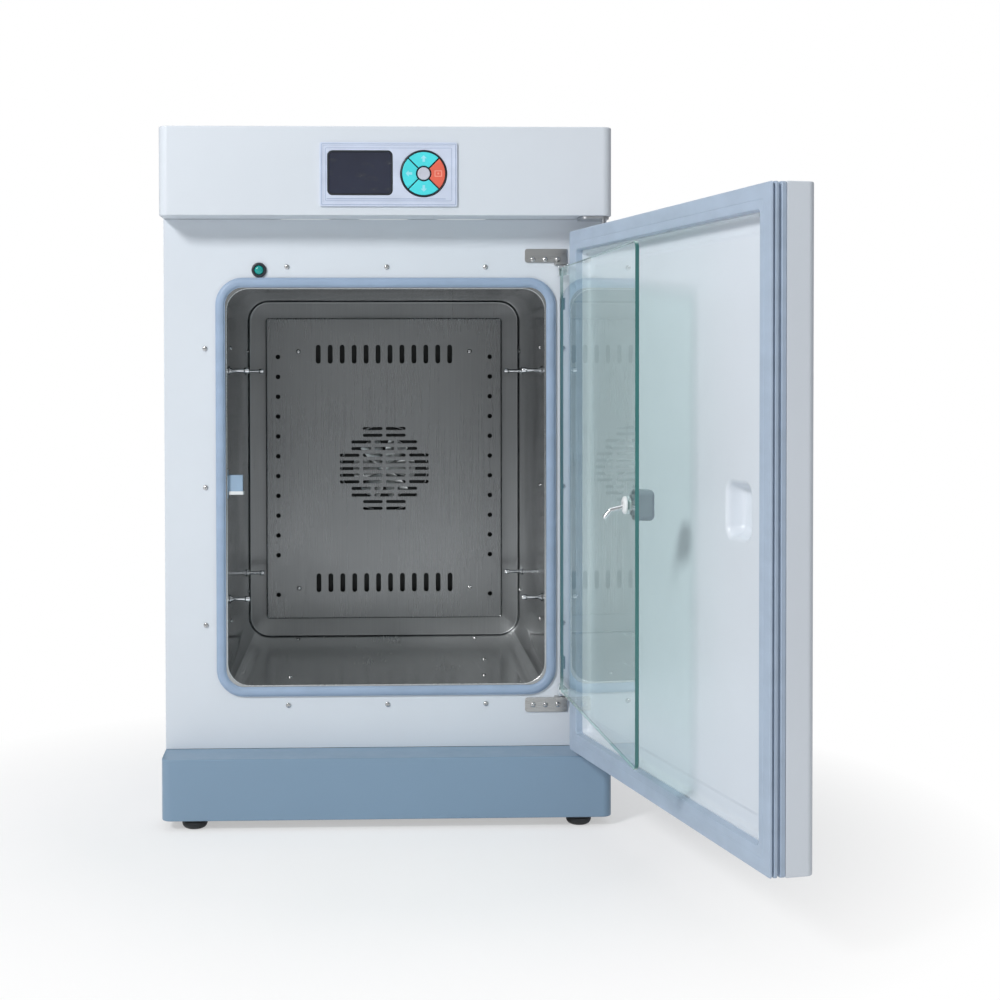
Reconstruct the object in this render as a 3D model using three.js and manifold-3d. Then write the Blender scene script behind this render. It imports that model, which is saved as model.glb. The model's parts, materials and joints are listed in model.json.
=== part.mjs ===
// Laboratory incubator with an insulated outer door and an inner glass door, both standing open.
// Millimetres. X to the right, Y from the front panel into the cabinet, Z up.
// Origin: middle of the cabinet's width, in the plane of the front panel, at the base pan's underside.
import * as THREE from 'three';
import { mergeVertices } from 'three/addons/utils/BufferGeometryUtils.js';
import ManifoldModule from 'manifold-3d';

const wasm = await ManifoldModule();
wasm.setup();

// ---- driving dimensions ----
const GAP = 0.3; // clearance between neighbouring pieces
const SHEET = 1.5; // sheet steel thickness

const CABINET_WIDTH = 550;
const CABINET_HEIGHT = 843; // base pan's underside to the hood's top
const CABINET_DEPTH = 500; // front panel's plane to the side panels' back edges
const NOSE_DEPTH = 47.5; // how far the hood and the plinth stand out in front of the panel
const NOSE_RADIUS = 12; // their rounded vertical edges
const HOOD_BOTTOM = 735;
const PLINTH_TOP = 78; // at the front panel
const PLINTH_DROP = 3; // the plinth's top slopes down by this much to its front edge

const CHAMBER_WIDTH = 400;
const CHAMBER_DEPTH = 404;
const CHAMBER_BOTTOM = 154;
const CHAMBER_TOP = 651.5;
const CHAMBER_CORNER = 30; // coved corners of the steel liner
const RIM_INSET = 3; // the liner's front lip narrows the opening by this much
const GASKET_WIDTH = 12;

const PLENUM_DEPTH = 18.7; // air space between the duct panel and the back wall
const FAN_Z = 404.5;
const FAN_RADIUS = 46;

const OUTER_HINGE = { x: 264.5, y: -43 };
const OUTER_OPEN = THREE.MathUtils.degToRad(102.6);
const DOOR_HALF = 273.5;
const DOOR_BOTTOM = 83;
const DOOR_TOP = 716.5;
const DOOR_BACK = -2; // the closed door's sealing face
const FRAME_BAND = 24; // width of the door's sealing frame
const FRAME_FRONT = -17.7;
const PANEL_RECESS = -19.7; // the closed door's inner panel face

const GLASS_HINGE = { x: 217, y: -8 };
const GLASS_OPEN = THREE.MathUtils.degToRad(93.6);
const GLASS_BOTTOM = 149;
const GLASS_TOP = 674;
const GLASS_NEAR = -5.5; // hinge edge, measured from the glass hinge's axis
const GLASS_FAR = -428.5; // free edge
const GLASS_BACK = 2.5; // the pane's chamber side
const GLASS_THICKNESS = 4;

const LATCH_X = -389; // latch spindle, from the glass hinge's axis
const LATCH_Z = 410;
const HOOK_REACH = 25; // how far behind the hinge axis the hook's arm turns down
const HOOK_LENGTH = 14;

const CONTROL_X = 3; // centre of the control panel
const CONTROL_Z = 784.5;
const KEYPAD_X = 45.5;
const KEYPAD_Z = 785.5;
const KEY_FRONT = -50.9;
const KEY_BACK = -47.9;

const DOOR_SWITCH = { x: -157, z: 672 };
const POWER = { x: -200, z: 55, rockerX: -160 };

const FOOT_HEIGHT = 12;
const FOOT_X = 236;
const FOOT_FRONT_Y = -28;
const FOOT_REAR_Y = 460;

// ---- materials ----
function finish(colour, roughness, metalness = 0) {
  return new THREE.MeshStandardMaterial({ color: colour, roughness, metalness });
}

const paint = finish(0xe6ebef, 0.4);
const basePaint = finish(0x7f9ab4, 0.4);
const steel = finish(0x9a9c9a, 0.22, 1);
const chrome = finish(0xd8dadc, 0.08, 1);
const zinc = finish(0xa6abb0, 0.4, 0.9);
const sealGrey = finish(0x9fb2c8, 0.6);
const frameGrey = finish(0xa9b8cb, 0.5);
const rubber = finish(0x17181a, 0.8);
const blackPlastic = finish(0x22252b, 0.35);
const greyPlastic = finish(0x7b8587, 0.45);
const whitePlastic = finish(0xeceeee, 0.4);
const bezelPlastic = finish(0xcfd3e6, 0.4);
const screenGlass = finish(0x0b1020, 0.08);
const keyCyan = finish(0x55edf0, 0.35);
const keyRed = finish(0xe86c58, 0.35);
const keySilver = finish(0xb9b9c6, 0.3);
const tealPlastic = finish(0x1f9e96, 0.3);
const bluePlastic = finish(0x93abc4, 0.45);
const foam = finish(0xd9cfae, 0.95);
const board = finish(0x1f6b3a, 0.6);
const glass = new THREE.MeshStandardMaterial({
  color: 0xd5ece4, roughness: 0.03, metalness: 0, transparent: true, opacity: 0.3,
});

// ---- outlines ----
function roundedRect(x0, z0, x1, z1, r, Outline = THREE.Shape) {
  const s = new Outline();
  s.moveTo(x0 + r, z0);
  s.lineTo(x1 - r, z0);
  s.absarc(x1 - r, z0 + r, r, -Math.PI / 2, 0);
  s.lineTo(x1, z1 - r);
  s.absarc(x1 - r, z1 - r, r, 0, Math.PI / 2);
  s.lineTo(x0 + r, z1);
  s.absarc(x0 + r, z1 - r, r, Math.PI / 2, Math.PI);
  s.lineTo(x0, z0 + r);
  s.absarc(x0 + r, z0 + r, r, Math.PI, Math.PI * 1.5);
  return s;
}

function polygon(points) {
  return new THREE.Shape(points.map(([a, b]) => new THREE.Vector2(a, b)));
}

// a slot's outline about its centre, with cut corners
function slotOutline(x, z, width, height) {
  const [w, h, c] = [width / 2, height / 2, Math.min(width, height) * 0.3];
  return polygon([[x - w + c, z - h], [x + w - c, z - h], [x + w, z - h + c], [x + w, z + h - c],
    [x + w - c, z + h], [x - w + c, z + h], [x - w, z + h - c], [x - w, z - h + c]]);
}

function rectangle(x, z, w, h) {
  return polygon([[x - w / 2, z - h / 2], [x + w / 2, z - h / 2], [x + w / 2, z + h / 2],
    [x - w / 2, z + h / 2]]);
}

// plan outline with a square back and two rounded front corners
function nosePlan(half, yFront, yBack, r) {
  const s = new THREE.Shape();
  s.moveTo(half, yBack);
  s.lineTo(-half, yBack);
  s.lineTo(-half, yFront + r);
  s.absarc(-half + r, yFront + r, r, Math.PI, Math.PI * 1.5);
  s.lineTo(half - r, yFront);
  s.absarc(half - r, yFront + r, r, -Math.PI / 2, 0);
  s.lineTo(half, yBack);
  return s;
}

// ---- solids from outlines ----
function extrude(shape, depth, segments) {
  return new THREE.ExtrudeGeometry(shape, { depth, bevelEnabled: false, curveSegments: segments });
}

// outline in X and Z, thickness along Y
function slabY(shape, yFront, yBack, segments = 3) {
  return extrude(shape, yBack - yFront, segments).rotateX(Math.PI / 2).translate(0, yBack, 0);
}

// outline in X and Y, thickness along Z
function slabZ(shape, zLow, zHigh, segments = 3) {
  return extrude(shape, zHigh - zLow, segments).translate(0, 0, zLow);
}

// outline in Y and Z, thickness along X
function slabX(shape, xLow, xHigh, segments = 3) {
  const axes = new THREE.Matrix4().makeBasis(
    new THREE.Vector3(0, 1, 0), new THREE.Vector3(0, 0, 1), new THREE.Vector3(1, 0, 0));
  return extrude(shape, xHigh - xLow, segments).applyMatrix4(axes).translate(xLow, 0, 0);
}

function box(x0, x1, y0, y1, z0, z1) {
  return new THREE.BoxGeometry(x1 - x0, y1 - y0, z1 - z0)
    .translate((x0 + x1) / 2, (y0 + y1) / 2, (z0 + z1) / 2);
}

function rodY(r, y0, y1, x, z, sides = 20) {
  return new THREE.CylinderGeometry(r, r, y1 - y0, sides).translate(x, (y0 + y1) / 2, z);
}

function rodZ(r, z0, z1, x, y, sides = 20) {
  return new THREE.CylinderGeometry(r, r, z1 - z0, sides)
    .rotateX(Math.PI / 2).translate(x, y, (z0 + z1) / 2);
}

// turned about the Y axis from [radius, y] points
function turnedY(points, x, z, sides = 32) {
  return new THREE.LatheGeometry(points.map(([r, y]) => new THREE.Vector2(r, y)), sides)
    .translate(x, 0, z);
}

// ---- joining and cutting ----
function solid(geometry) {
  const bare = geometry.clone();
  Object.keys(bare.attributes).filter((key) => key !== 'position')
    .forEach((key) => bare.deleteAttribute(key));
  const merged = mergeVertices(bare, 1e-4);
  const corners = merged.attributes.position.array;
  const triangles = new Uint32Array(merged.index.array);
  if (signedVolume(corners, triangles) < 0) triangles.reverse();
  return new wasm.Manifold(new wasm.Mesh({
    numProp: 3, vertProperties: corners, triVerts: triangles,
  }));
}

function signedVolume(corners, triangles) {
  const [a, b, c] = [new THREE.Vector3(), new THREE.Vector3(), new THREE.Vector3()];
  let sum = 0;
  for (let i = 0; i < triangles.length; i += 3) {
    a.fromArray(corners, triangles[i] * 3);
    b.fromArray(corners, triangles[i + 1] * 3);
    c.fromArray(corners, triangles[i + 2] * 3);
    sum += a.dot(b.cross(c)) / 6;
  }
  return sum;
}

function join(geometries) {
  return geometries.map(solid).reduce((all, next) => all.add(next));
}

function named(name, material, body) {
  const { vertProperties, triVerts } = body.getMesh();
  const geometry = new THREE.BufferGeometry();
  geometry.setAttribute('position', new THREE.BufferAttribute(vertProperties, 3));
  geometry.setIndex(new THREE.BufferAttribute(triVerts, 1));
  geometry.computeVertexNormals();
  const mesh = new THREE.Mesh(geometry, material);
  mesh.name = name;
  return mesh;
}

function piece(name, material, bases, cuts = []) {
  const body = cuts.map(solid).reduce((rest, tool) => rest.subtract(tool), join(bases));
  return named(name, material, body);
}

// ---- cabinet casing ----
function sidePanel(name, side) {
  const outer = CABINET_WIDTH / 2 - 0.5;
  const height = CABINET_HEIGHT - 0.5;
  const across = (x0, x1, y0, z0) => box(Math.min(side * x0, side * x1),
    Math.max(side * x0, side * x1), y0, CABINET_DEPTH, z0, height);
  return piece(name, paint, [
    across(outer - SHEET, outer, SHEET + GAP, 0),
    across(outer - 14, outer, CABINET_DEPTH - SHEET, SHEET + GAP),
  ]);
}

function topCover() {
  const half = CABINET_WIDTH / 2 - 0.5 - SHEET - GAP;
  const top = CABINET_HEIGHT - 0.5;
  return piece('top_cover', paint, [
    box(-half, half, SHEET + GAP, CABINET_DEPTH - SHEET - GAP, top - SHEET, top),
  ]);
}

function frontPanel() {
  const half = CABINET_WIDTH / 2 - 0.5;
  const outline = roundedRect(-half, PLINTH_TOP + GAP, half, HOOD_BOTTOM - GAP, 0.5);
  const hole = roundedRect(-CHAMBER_WIDTH / 2 - 4, CHAMBER_BOTTOM - 4,
    CHAMBER_WIDTH / 2 + 4, CHAMBER_TOP + 4, CHAMBER_CORNER + 4);
  return piece('front_panel', paint, [slabY(outline, 0, SHEET, 2)], [
    slabY(hole, -1, SHEET + 1, 4),
    rodY(6.5, -1, SHEET + 1, DOOR_SWITCH.x, DOOR_SWITCH.z),
  ]);
}

function topHood() {
  const wall = 2;
  const half = CABINET_WIDTH / 2;
  const outer = nosePlan(half, -NOSE_DEPTH, SHEET, NOSE_RADIUS);
  const inner = nosePlan(half - wall, -NOSE_DEPTH + wall, SHEET + 5, NOSE_RADIUS - wall);
  const window = roundedRect(CONTROL_X - 77, CONTROL_Z - 33, CONTROL_X + 77, CONTROL_Z + 33, 3);
  return piece('top_hood', paint, [slabZ(outer, HOOD_BOTTOM, CABINET_HEIGHT, 4)], [
    slabZ(inner, HOOD_BOTTOM + wall, CABINET_HEIGHT - wall, 4),
    slabY(window, -NOSE_DEPTH - 1, -NOSE_DEPTH + wall + 1, 3),
  ]);
}

function basePlinth() {
  const wall = 2;
  const half = CABINET_WIDTH / 2;
  const outer = nosePlan(half, -NOSE_DEPTH, SHEET, NOSE_RADIUS);
  const inner = nosePlan(half - wall, -NOSE_DEPTH + wall, SHEET + 5, NOSE_RADIUS - wall);
  const frontTop = PLINTH_TOP - PLINTH_DROP;
  const slope = polygon([[-NOSE_DEPTH, frontTop], [SHEET, PLINTH_TOP],
    [SHEET + 5, PLINTH_TOP + 9], [-NOSE_DEPTH - 9, PLINTH_TOP + 9], [-NOSE_DEPTH - 9, frontTop]]);
  return piece('base_plinth', basePaint, [slabZ(outer, 0, PLINTH_TOP, 4)], [
    slabZ(inner, -1, frontTop - wall, 4),
    slabX(slope, -half - 5, half + 5),
  ]);
}

function footPlaces() {
  return [
    ['front_left_foot', -FOOT_X, FOOT_FRONT_Y], ['front_right_foot', FOOT_X, FOOT_FRONT_Y],
    ['rear_left_foot', -FOOT_X, FOOT_REAR_Y], ['rear_right_foot', FOOT_X, FOOT_REAR_Y],
  ];
}

function basePan() {
  const half = CABINET_WIDTH / 2 - 2 - GAP;
  const plan = nosePlan(half, -NOSE_DEPTH + 2 + GAP, CABINET_DEPTH - SHEET - GAP, NOSE_RADIUS);
  return piece('base_pan', zinc, [slabZ(plan, 0, SHEET, 3)],
    footPlaces().map(([, x, y]) => rodZ(18, -1, SHEET + 1, x, y, 16)));
}

function foot(name, x, y) {
  const profile = [[0, -FOOT_HEIGHT], [10, -FOOT_HEIGHT], [13.5, -10.5], [15.5, -6], [15.5, 6],
    [14, 8], [5, 8], [5, 16], [0, 16]];
  const turned = new THREE.LatheGeometry(profile.map(([r, z]) => new THREE.Vector2(r, z)), 16)
    .rotateX(Math.PI / 2).translate(x, y, 0);
  return piece(name, rubber, [turned]);
}

function footRail(name, x) {
  const [low, high, half, wall] = [8 + GAP, 72.5, 20, 2.5];
  const profile = polygon([[x - half, low], [x + half, low], [x + half, high],
    [x + half - wall, high], [x + half - wall, low + wall], [x - half + wall, low + wall],
    [x - half + wall, high], [x - half, high]]);
  return piece(name, zinc, [slabY(profile, -NOSE_DEPTH + 12, CABINET_DEPTH - 6)],
    [FOOT_FRONT_Y, FOOT_REAR_Y].map((y) => rodZ(5 + GAP, low - 1, low + wall + 1, x, y)));
}

function rearCover() {
  const half = CABINET_WIDTH / 2 - 0.8;
  const slots = [];
  const vent = (x, z) => slots.push(slabY(rectangle(x, z, 75, 5), CABINET_DEPTH, CABINET_DEPTH + 5));
  for (let row = 0; row < 5; row += 1) [-120, 0, 120].forEach((x) => vent(x, 780 - row * 12));
  for (let row = 0; row < 4; row += 1) [-20, 80].forEach((x) => vent(x, 62 - row * 12));
  const outline = roundedRect(-half, 1, half, CABINET_HEIGHT - 1, 2);
  const y0 = CABINET_DEPTH + GAP;
  const inlet = box(POWER.x - 13.8, POWER.x + 13.8, y0 - 1, y0 + 4, POWER.z - 10.3, POWER.z + 10.3);
  const rocker = box(POWER.rockerX - 11, POWER.rockerX + 11, y0 - 1, y0 + 4,
    POWER.z - 7.5, POWER.z + 7.5);
  return piece('rear_cover', paint, [slabY(outline, y0, y0 + SHEET, 2)],
    [...slots, inlet, rocker]);
}

// ---- chamber ----
function chamberLiner() {
  const wall = 1.2;
  const half = CHAMBER_WIDTH / 2;
  const rim = half - RIM_INSET;
  const outer = roundedRect(-half - wall, CHAMBER_BOTTOM - wall, half + wall, CHAMBER_TOP + wall,
    CHAMBER_CORNER + wall);
  const inner = roundedRect(-half, CHAMBER_BOTTOM, half, CHAMBER_TOP, CHAMBER_CORNER);
  const lip = roundedRect(-half - 9, CHAMBER_BOTTOM - 9, half + 9, CHAMBER_TOP + 9,
    CHAMBER_CORNER + 9);
  const opening = roundedRect(-rim, CHAMBER_BOTTOM + RIM_INSET, rim, CHAMBER_TOP - RIM_INSET,
    CHAMBER_CORNER - RIM_INSET);
  return piece('chamber_liner', steel, [
    slabY(outer, -SHEET, CHAMBER_DEPTH + wall, 4), slabY(lip, -SHEET, -GAP, 4),
  ], [
    slabY(inner, -GAP, CHAMBER_DEPTH, 4), slabY(opening, -SHEET - 1, 1, 4),
    rodY(8, CHAMBER_DEPTH - 1, CHAMBER_DEPTH + 4, 0, FAN_Z, 16),
  ]);
}

function chamberGasket() {
  const halfIn = CHAMBER_WIDTH / 2 - RIM_INSET + 2;
  const lowIn = CHAMBER_BOTTOM + RIM_INSET - 2;
  const highIn = CHAMBER_TOP - RIM_INSET + 2;
  const roll = 1.1; // rounded lip of the rubber
  const ring = roundedRect(-halfIn - GASKET_WIDTH + roll, lowIn - GASKET_WIDTH + roll,
    halfIn + GASKET_WIDTH - roll, highIn + GASKET_WIDTH - roll, 34 - roll);
  ring.holes.push(roundedRect(-halfIn - roll, lowIn - roll, halfIn + roll, highIn + roll,
    24 + roll, THREE.Path));
  const rubberRing = new THREE.ExtrudeGeometry(ring, {
    depth: 3.4 - 2 * roll, bevelEnabled: true, bevelThickness: roll, bevelSize: roll,
    bevelSegments: 1, curveSegments: 4,
  }).rotateX(Math.PI / 2).translate(0, -SHEET - GAP - roll, 0);
  return piece('chamber_gasket', sealGrey, [rubberRing]);
}

function insulation() {
  const half = CABINET_WIDTH / 2 - 4.5;
  const inner = CHAMBER_WIDTH / 2 + 3.5;
  const pocket = roundedRect(-inner, CHAMBER_BOTTOM - 3.5, inner, CHAMBER_TOP + 3.5,
    CHAMBER_CORNER + 3.5);
  return piece('insulation', foam, [box(-half, half, 2, 455, 73, 728)], [
    slabY(pocket, 1, CHAMBER_DEPTH + 3.5, 4),
    rodY(9, CHAMBER_DEPTH, 460, 0, FAN_Z),
    rodY(8, 1, 34, DOOR_SWITCH.x, DOOR_SWITCH.z),
  ]);
}

// air slots, side holes and the fan grille of the panel at the back of the chamber
function ductOpenings(y0, y1) {
  const cuts = [];
  const cut = (outline) => cuts.push(slabY(outline, y0, y1));
  for (let i = 0; i < 12; i += 1) {
    const x = (i - 5.5) * 17.6;
    cut(slotOutline(x, 573, 6.5, 27));
    cut(slotOutline(x, 236, 6.5, 27));
  }
  for (let i = 0; i < 13; i += 1) {
    if (i === 11) continue;
    for (const x of [-156, 156]) cuts.push(rodY(3.4, y0, y1, x, 569 - i * 29.2, 8));
  }
  const slotsInRow = [2, 2, 3, 3, 4, 4, 4, 4, 4, 3, 3, 2, 2];
  slotsInRow.forEach((count, row) => {
    for (let k = 0; k < count; k += 1) {
      cut(rectangle((k - (count - 1) / 2) * 34, FAN_Z + (6 - row) * 9.8, 29, 4.5));
    }
  });
  return cuts;
}

function ductPanel() {
  const [half, low, high] = [174, 183, 626];
  const front = CHAMBER_DEPTH - PLENUM_DEPTH;
  const back = CHAMBER_DEPTH - GAP;
  const wall = 1.2;
  const outer = roundedRect(-half, low, half, high, 3);
  const inner = roundedRect(-half + wall, low + wall, half - wall, high - wall, 3 - wall);
  return piece('back_duct_panel', steel, [slabY(outer, front, back, 3)],
    [slabY(inner, front + wall, back + 1, 3), ...ductOpenings(front - 1, front + wall + 1)]);
}

function fanMotor() {
  const [y0, y1] = [456, 494];
  const profile = [[0, y0 + 14], [4.8, y0 + 14], [4.8, y0], [30, y0], [30, y0 + 4],
    [38, y0 + 4], [38, y1 - 4], [34, y1], [0, y1]];
  return piece('fan_motor', blackPlastic, [turnedY(profile, 0, FAN_Z, 20)]);
}

function fanImpeller() {
  const y = CHAMBER_DEPTH - 9;
  const blade = new THREE.Shape();
  blade.moveTo(0, -4);
  blade.lineTo(FAN_RADIUS * 0.6, -14);
  blade.absarc(0, 0, FAN_RADIUS, -0.36, 0.36);
  blade.lineTo(FAN_RADIUS * 0.6, 14);
  blade.lineTo(0, 4);
  const parts = [rodY(10, y - 5, y + 5, 0, FAN_Z, 20), rodY(4, y, 468, 0, FAN_Z, 16)];
  for (let i = 0; i < 6; i += 1) {
    parts.push(slabY(blade, -0.6, 0.6, 3).rotateX(0.32)
      .rotateY(i * Math.PI / 3).translate(0, y, FAN_Z));
  }
  return piece('fan_impeller', steel, parts);
}

function heaterElement() {
  const radius = 64;
  class Ring extends THREE.Curve {
    getPoint(t, target = new THREE.Vector3()) {
      const a = -Math.PI / 2 + 0.25 + t * (2 * Math.PI - 0.5);
      return target.set(radius * Math.cos(a), CHAMBER_DEPTH - 8, FAN_Z + radius * Math.sin(a));
    }
  }
  const section = new THREE.Shape().absarc(0, 0, 3, 0, Math.PI * 2);
  return piece('heater_element', steel, [new THREE.ExtrudeGeometry(section, {
    steps: 24, curveSegments: 3, extrudePath: new Ring(),
  })]);
}

function temperatureSensor() {
  return piece('temperature_sensor', steel, [
    rodZ(2.5, 440, 520, -120, CHAMBER_DEPTH - 8, 12), rodZ(4, 516, 526, -120, CHAMBER_DEPTH - 8, 12),
  ]);
}

function shelfStud(name, side, y, z) {
  const profile = [[0, 0], [5, 0], [5, 1.5], [1.6, 1.5], [1.6, 22], [2.9, 22], [2.9, 25.5],
    [0, 25.5]];
  const stud = new THREE.LatheGeometry(profile.map(([r, h]) => new THREE.Vector2(r, h)), 10)
    .rotateZ(side * Math.PI / 2).translate(side * (CHAMBER_WIDTH / 2 - GAP), y, z);
  return piece(name, chrome, [stud]);
}

function latchStrike() {
  const wall = -CHAMBER_WIDTH / 2 + GAP;
  return piece('latch_strike', bluePlastic, [
    box(wall, wall + 2, 3, 26, 388, 424), box(wall + 1.5, -178.5, 4, 12.5, 396, 418),
    box(wall + 4, -177.5, 3, 12.5, 394, 397.5),
  ]);
}

// ---- hinge hardware on the cabinet ----
function glassBracket(name, plateLow, plateHigh, tabLow, pinLow, pinHigh) {
  const tabHigh = tabLow + 3;
  const low = Math.min(plateLow, tabLow);
  const high = Math.max(plateHigh, tabHigh);
  return piece(name, steel, [
    slabY(roundedRect(172.5, plateLow, 225, plateHigh, 3), -SHEET - GAP, -GAP, 3),
    box(209, 225, -SHEET - GAP, -GAP, low + 0.01, high - 0.01),
    slabZ(roundedRect(209, -13.5, 225, -GAP, 1.5), tabLow, tabHigh, 3),
    rodZ(2, pinLow, pinHigh, GLASS_HINGE.x, GLASS_HINGE.y, 16),
  ]);
}

function upperDoorBracket() {
  const z1 = HOOD_BOTTOM - GAP;
  return piece('upper_door_bracket', zinc, [
    slabZ(roundedRect(236, -46.5, 272, -8, 9), z1 - 3, z1, 5),
    rodZ(2.5, DOOR_TOP - 14, z1 - 1, OUTER_HINGE.x, OUTER_HINGE.y, 16),
  ]);
}

function lowerDoorBracket() {
  const topAt = (y) => PLINTH_TOP - PLINTH_DROP * (SHEET - y) / (SHEET + NOSE_DEPTH) + GAP;
  const profile = polygon([[-46.5, topAt(-46.5)], [-8, topAt(-8)], [-8, 81], [-46.5, 81]]);
  const corners = slabZ(roundedRect(236, -46.5, 272, -8, 9), 70, 90, 5);
  const plate = solid(slabX(profile, 236, 272)).intersect(solid(corners));
  const pin = solid(rodZ(2.5, 80, DOOR_BOTTOM + 14, OUTER_HINGE.x, OUTER_HINGE.y, 16));
  return named('lower_door_bracket', zinc, plate.add(pin));
}

// ---- controls ----
function controlBezel() {
  const outline = roundedRect(CONTROL_X - 83.2, CONTROL_Z - 38.7, CONTROL_X + 83.2,
    CONTROL_Z + 38.7, 4);
  const front = -NOSE_DEPTH - 2.5;
  return piece('control_bezel', bezelPlastic, [slabY(outline, front, -NOSE_DEPTH - GAP, 4)], [
    slabY(displayOutline(GAP), front - 1, -NOSE_DEPTH + 1, 5),
    rodY(28.6, front - 1, -NOSE_DEPTH + 1, KEYPAD_X, KEYPAD_Z, 28),
  ]);
}

function displayOutline(extra) {
  return roundedRect(-70.8 - extra, 759.6 - extra, 7.8 + extra, 813.2 + extra, 6);
}

function displayModule() {
  return piece('display_module', screenGlass, [slabY(displayOutline(0), -49.2, -38, 5)]);
}

function keypadRing() {
  const profile = [[0, -46.9], [26.5, -46.9], [26.5, -50.4], [28, -50.4], [28, -42], [0, -42]];
  return piece('keypad_ring', blackPlastic, [turnedY(profile, KEYPAD_X, KEYPAD_Z, 28)]);
}

function sectorKey(name, material, angle) {
  const [r0, r1, lane] = [9.4, 26, 0.7];
  const [a0, a1] = [angle - Math.PI / 4, angle + Math.PI / 4];
  const outline = new THREE.Shape();
  outline.absarc(0, 0, r1, a0 + Math.asin(lane / r1), a1 - Math.asin(lane / r1));
  outline.absarc(0, 0, r0, a1 - Math.asin(lane / r0), a0 + Math.asin(lane / r0), true);
  return piece(name, material,
    [slabY(outline, KEY_FRONT, KEY_BACK, 5).translate(KEYPAD_X, 0, KEYPAD_Z)]);
}

function centreKey() {
  return piece('key_centre', keySilver, [rodY(7.6, KEY_FRONT - 0.3, KEY_BACK, KEYPAD_X, KEYPAD_Z)]);
}

function controlBoard() {
  const [y0, y1] = [-36, -34.4];
  return piece('control_board', board, [
    box(-74, 79, y0, y1, 752, 817), box(-60, -30, y1 - 0.1, y1 + 8, 770, 800),
    box(10, 34, y1 - 0.1, y1 + 12, 760, 784), box(46, 70, y1 - 0.1, y1 + 6, 790, 806),
  ]);
}

function doorSwitchBezel() {
  const profile = [[6, 26], [6, -3.2], [8.2, -3.2], [9.2, -2.2], [9.2, -GAP], [6.3, -GAP],
    [6.3, 26], [6, 26]];
  return piece('door_switch_bezel', blackPlastic,
    [turnedY(profile, DOOR_SWITCH.x, DOOR_SWITCH.z, 18)]);
}

function doorSwitchPlunger() {
  const profile = [[0, -5], [3.4, -4.7], [5.2, -3.4], [5.6, -2], [5.6, 20], [0, 20]];
  return piece('door_switch_plunger', tealPlastic,
    [turnedY(profile, DOOR_SWITCH.x, DOOR_SWITCH.z, 14)]);
}

function powerInlet() {
  const { x, z } = POWER;
  const flange = CABINET_DEPTH + 2 * GAP + SHEET;
  return piece('power_inlet', blackPlastic, [
    box(x - 13.5, x + 13.5, 476, flange + 1, z - 10, z + 10),
    slabY(roundedRect(x - 17, z - 13, x + 17, z + 13, 3), flange, flange + 2.5, 3),
  ], [
    box(x - 11, x + 11, 486, CABINET_DEPTH + 9, z - 7.5, z + 7.5),
  ]);
}

function powerRocker() {
  const pivotY = CABINET_DEPTH + GAP;
  const profile = polygon([[-4, -6], [2.5, -6.6], [1.6, 0], [4.4, 6.6], [-4, 6]]);
  return piece('power_rocker', blackPlastic,
    [slabX(profile, -9.5, 9.5).translate(POWER.rockerX, pivotY, POWER.z)]);
}

// ---- outer door, drawn closed ----
function doorPocket(grow, y0, y1) {
  const x = GLASS_HINGE.x + LATCH_X;
  return slabY(roundedRect(x - 25 - grow, LATCH_Z - 25 - grow, x + 25 + grow, LATCH_Z + 25 + grow,
    9 + grow), y0, y1, 3);
}

function doorOuterPan() {
  const plan = nosePlan(DOOR_HALF, -NOSE_DEPTH, -18, 8);
  const room = nosePlan(DOOR_HALF - SHEET, -NOSE_DEPTH + SHEET, -18 - SHEET, 8 - SHEET);
  const mouth = roundedRect(-DOOR_HALF + 13, DOOR_BOTTOM + 13, DOOR_HALF - 13, DOOR_TOP - 13, 3);
  const block = (z0, z1) => slabZ(
    roundedRect(251, -NOSE_DEPTH + 1, DOOR_HALF - 1, -31, 7), z0, z1, 3);
  const shell = solid(slabZ(plan, DOOR_BOTTOM, DOOR_TOP, 3))
    .subtract(solid(slabZ(room, DOOR_BOTTOM + SHEET, DOOR_TOP - SHEET, 3)))
    .subtract(solid(slabY(mouth, -22, -10, 3)))
    .add(solid(block(DOOR_BOTTOM + 0.5, DOOR_BOTTOM + 18)))
    .add(solid(block(DOOR_TOP - 18, DOOR_TOP - 0.5)));
  const { x, y } = OUTER_HINGE;
  const bores = [rodZ(2.9, DOOR_BOTTOM - 1, DOOR_BOTTOM + 16, x, y, 16),
    rodZ(2.9, DOOR_TOP - 16, DOOR_TOP + 1, x, y, 16)];
  const pan = bores.reduce((body, bore) => body.subtract(solid(bore)), shell);
  return named('door_outer_pan', paint, pan);
}

function frameRing(inset, y0, y1) {
  const half = DOOR_HALF - GAP - inset;
  const ring = roundedRect(-half, DOOR_BOTTOM + GAP + inset, half, DOOR_TOP - GAP - inset, 2);
  return slabY(ring, y0, y1, 2);
}

function doorFrame() {
  const inner = roundedRect(-DOOR_HALF + FRAME_BAND, DOOR_BOTTOM + FRAME_BAND,
    DOOR_HALF - FRAME_BAND, DOOR_TOP - FRAME_BAND, 4);
  const grooveDepth = 3;
  let ring = solid(frameRing(0, FRAME_FRONT, DOOR_BACK))
    .subtract(solid(slabY(inner, FRAME_FRONT - 1, DOOR_BACK + 1, 3)));
  for (const [y0, y1] of [[-6.8, -4.6], [-13, -10]]) {
    const groove = solid(frameRing(-5, y0, y1)).subtract(solid(frameRing(grooveDepth, y0, y1)));
    ring = ring.subtract(groove);
  }
  return named('door_seal_frame', frameGrey, ring);
}

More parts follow.
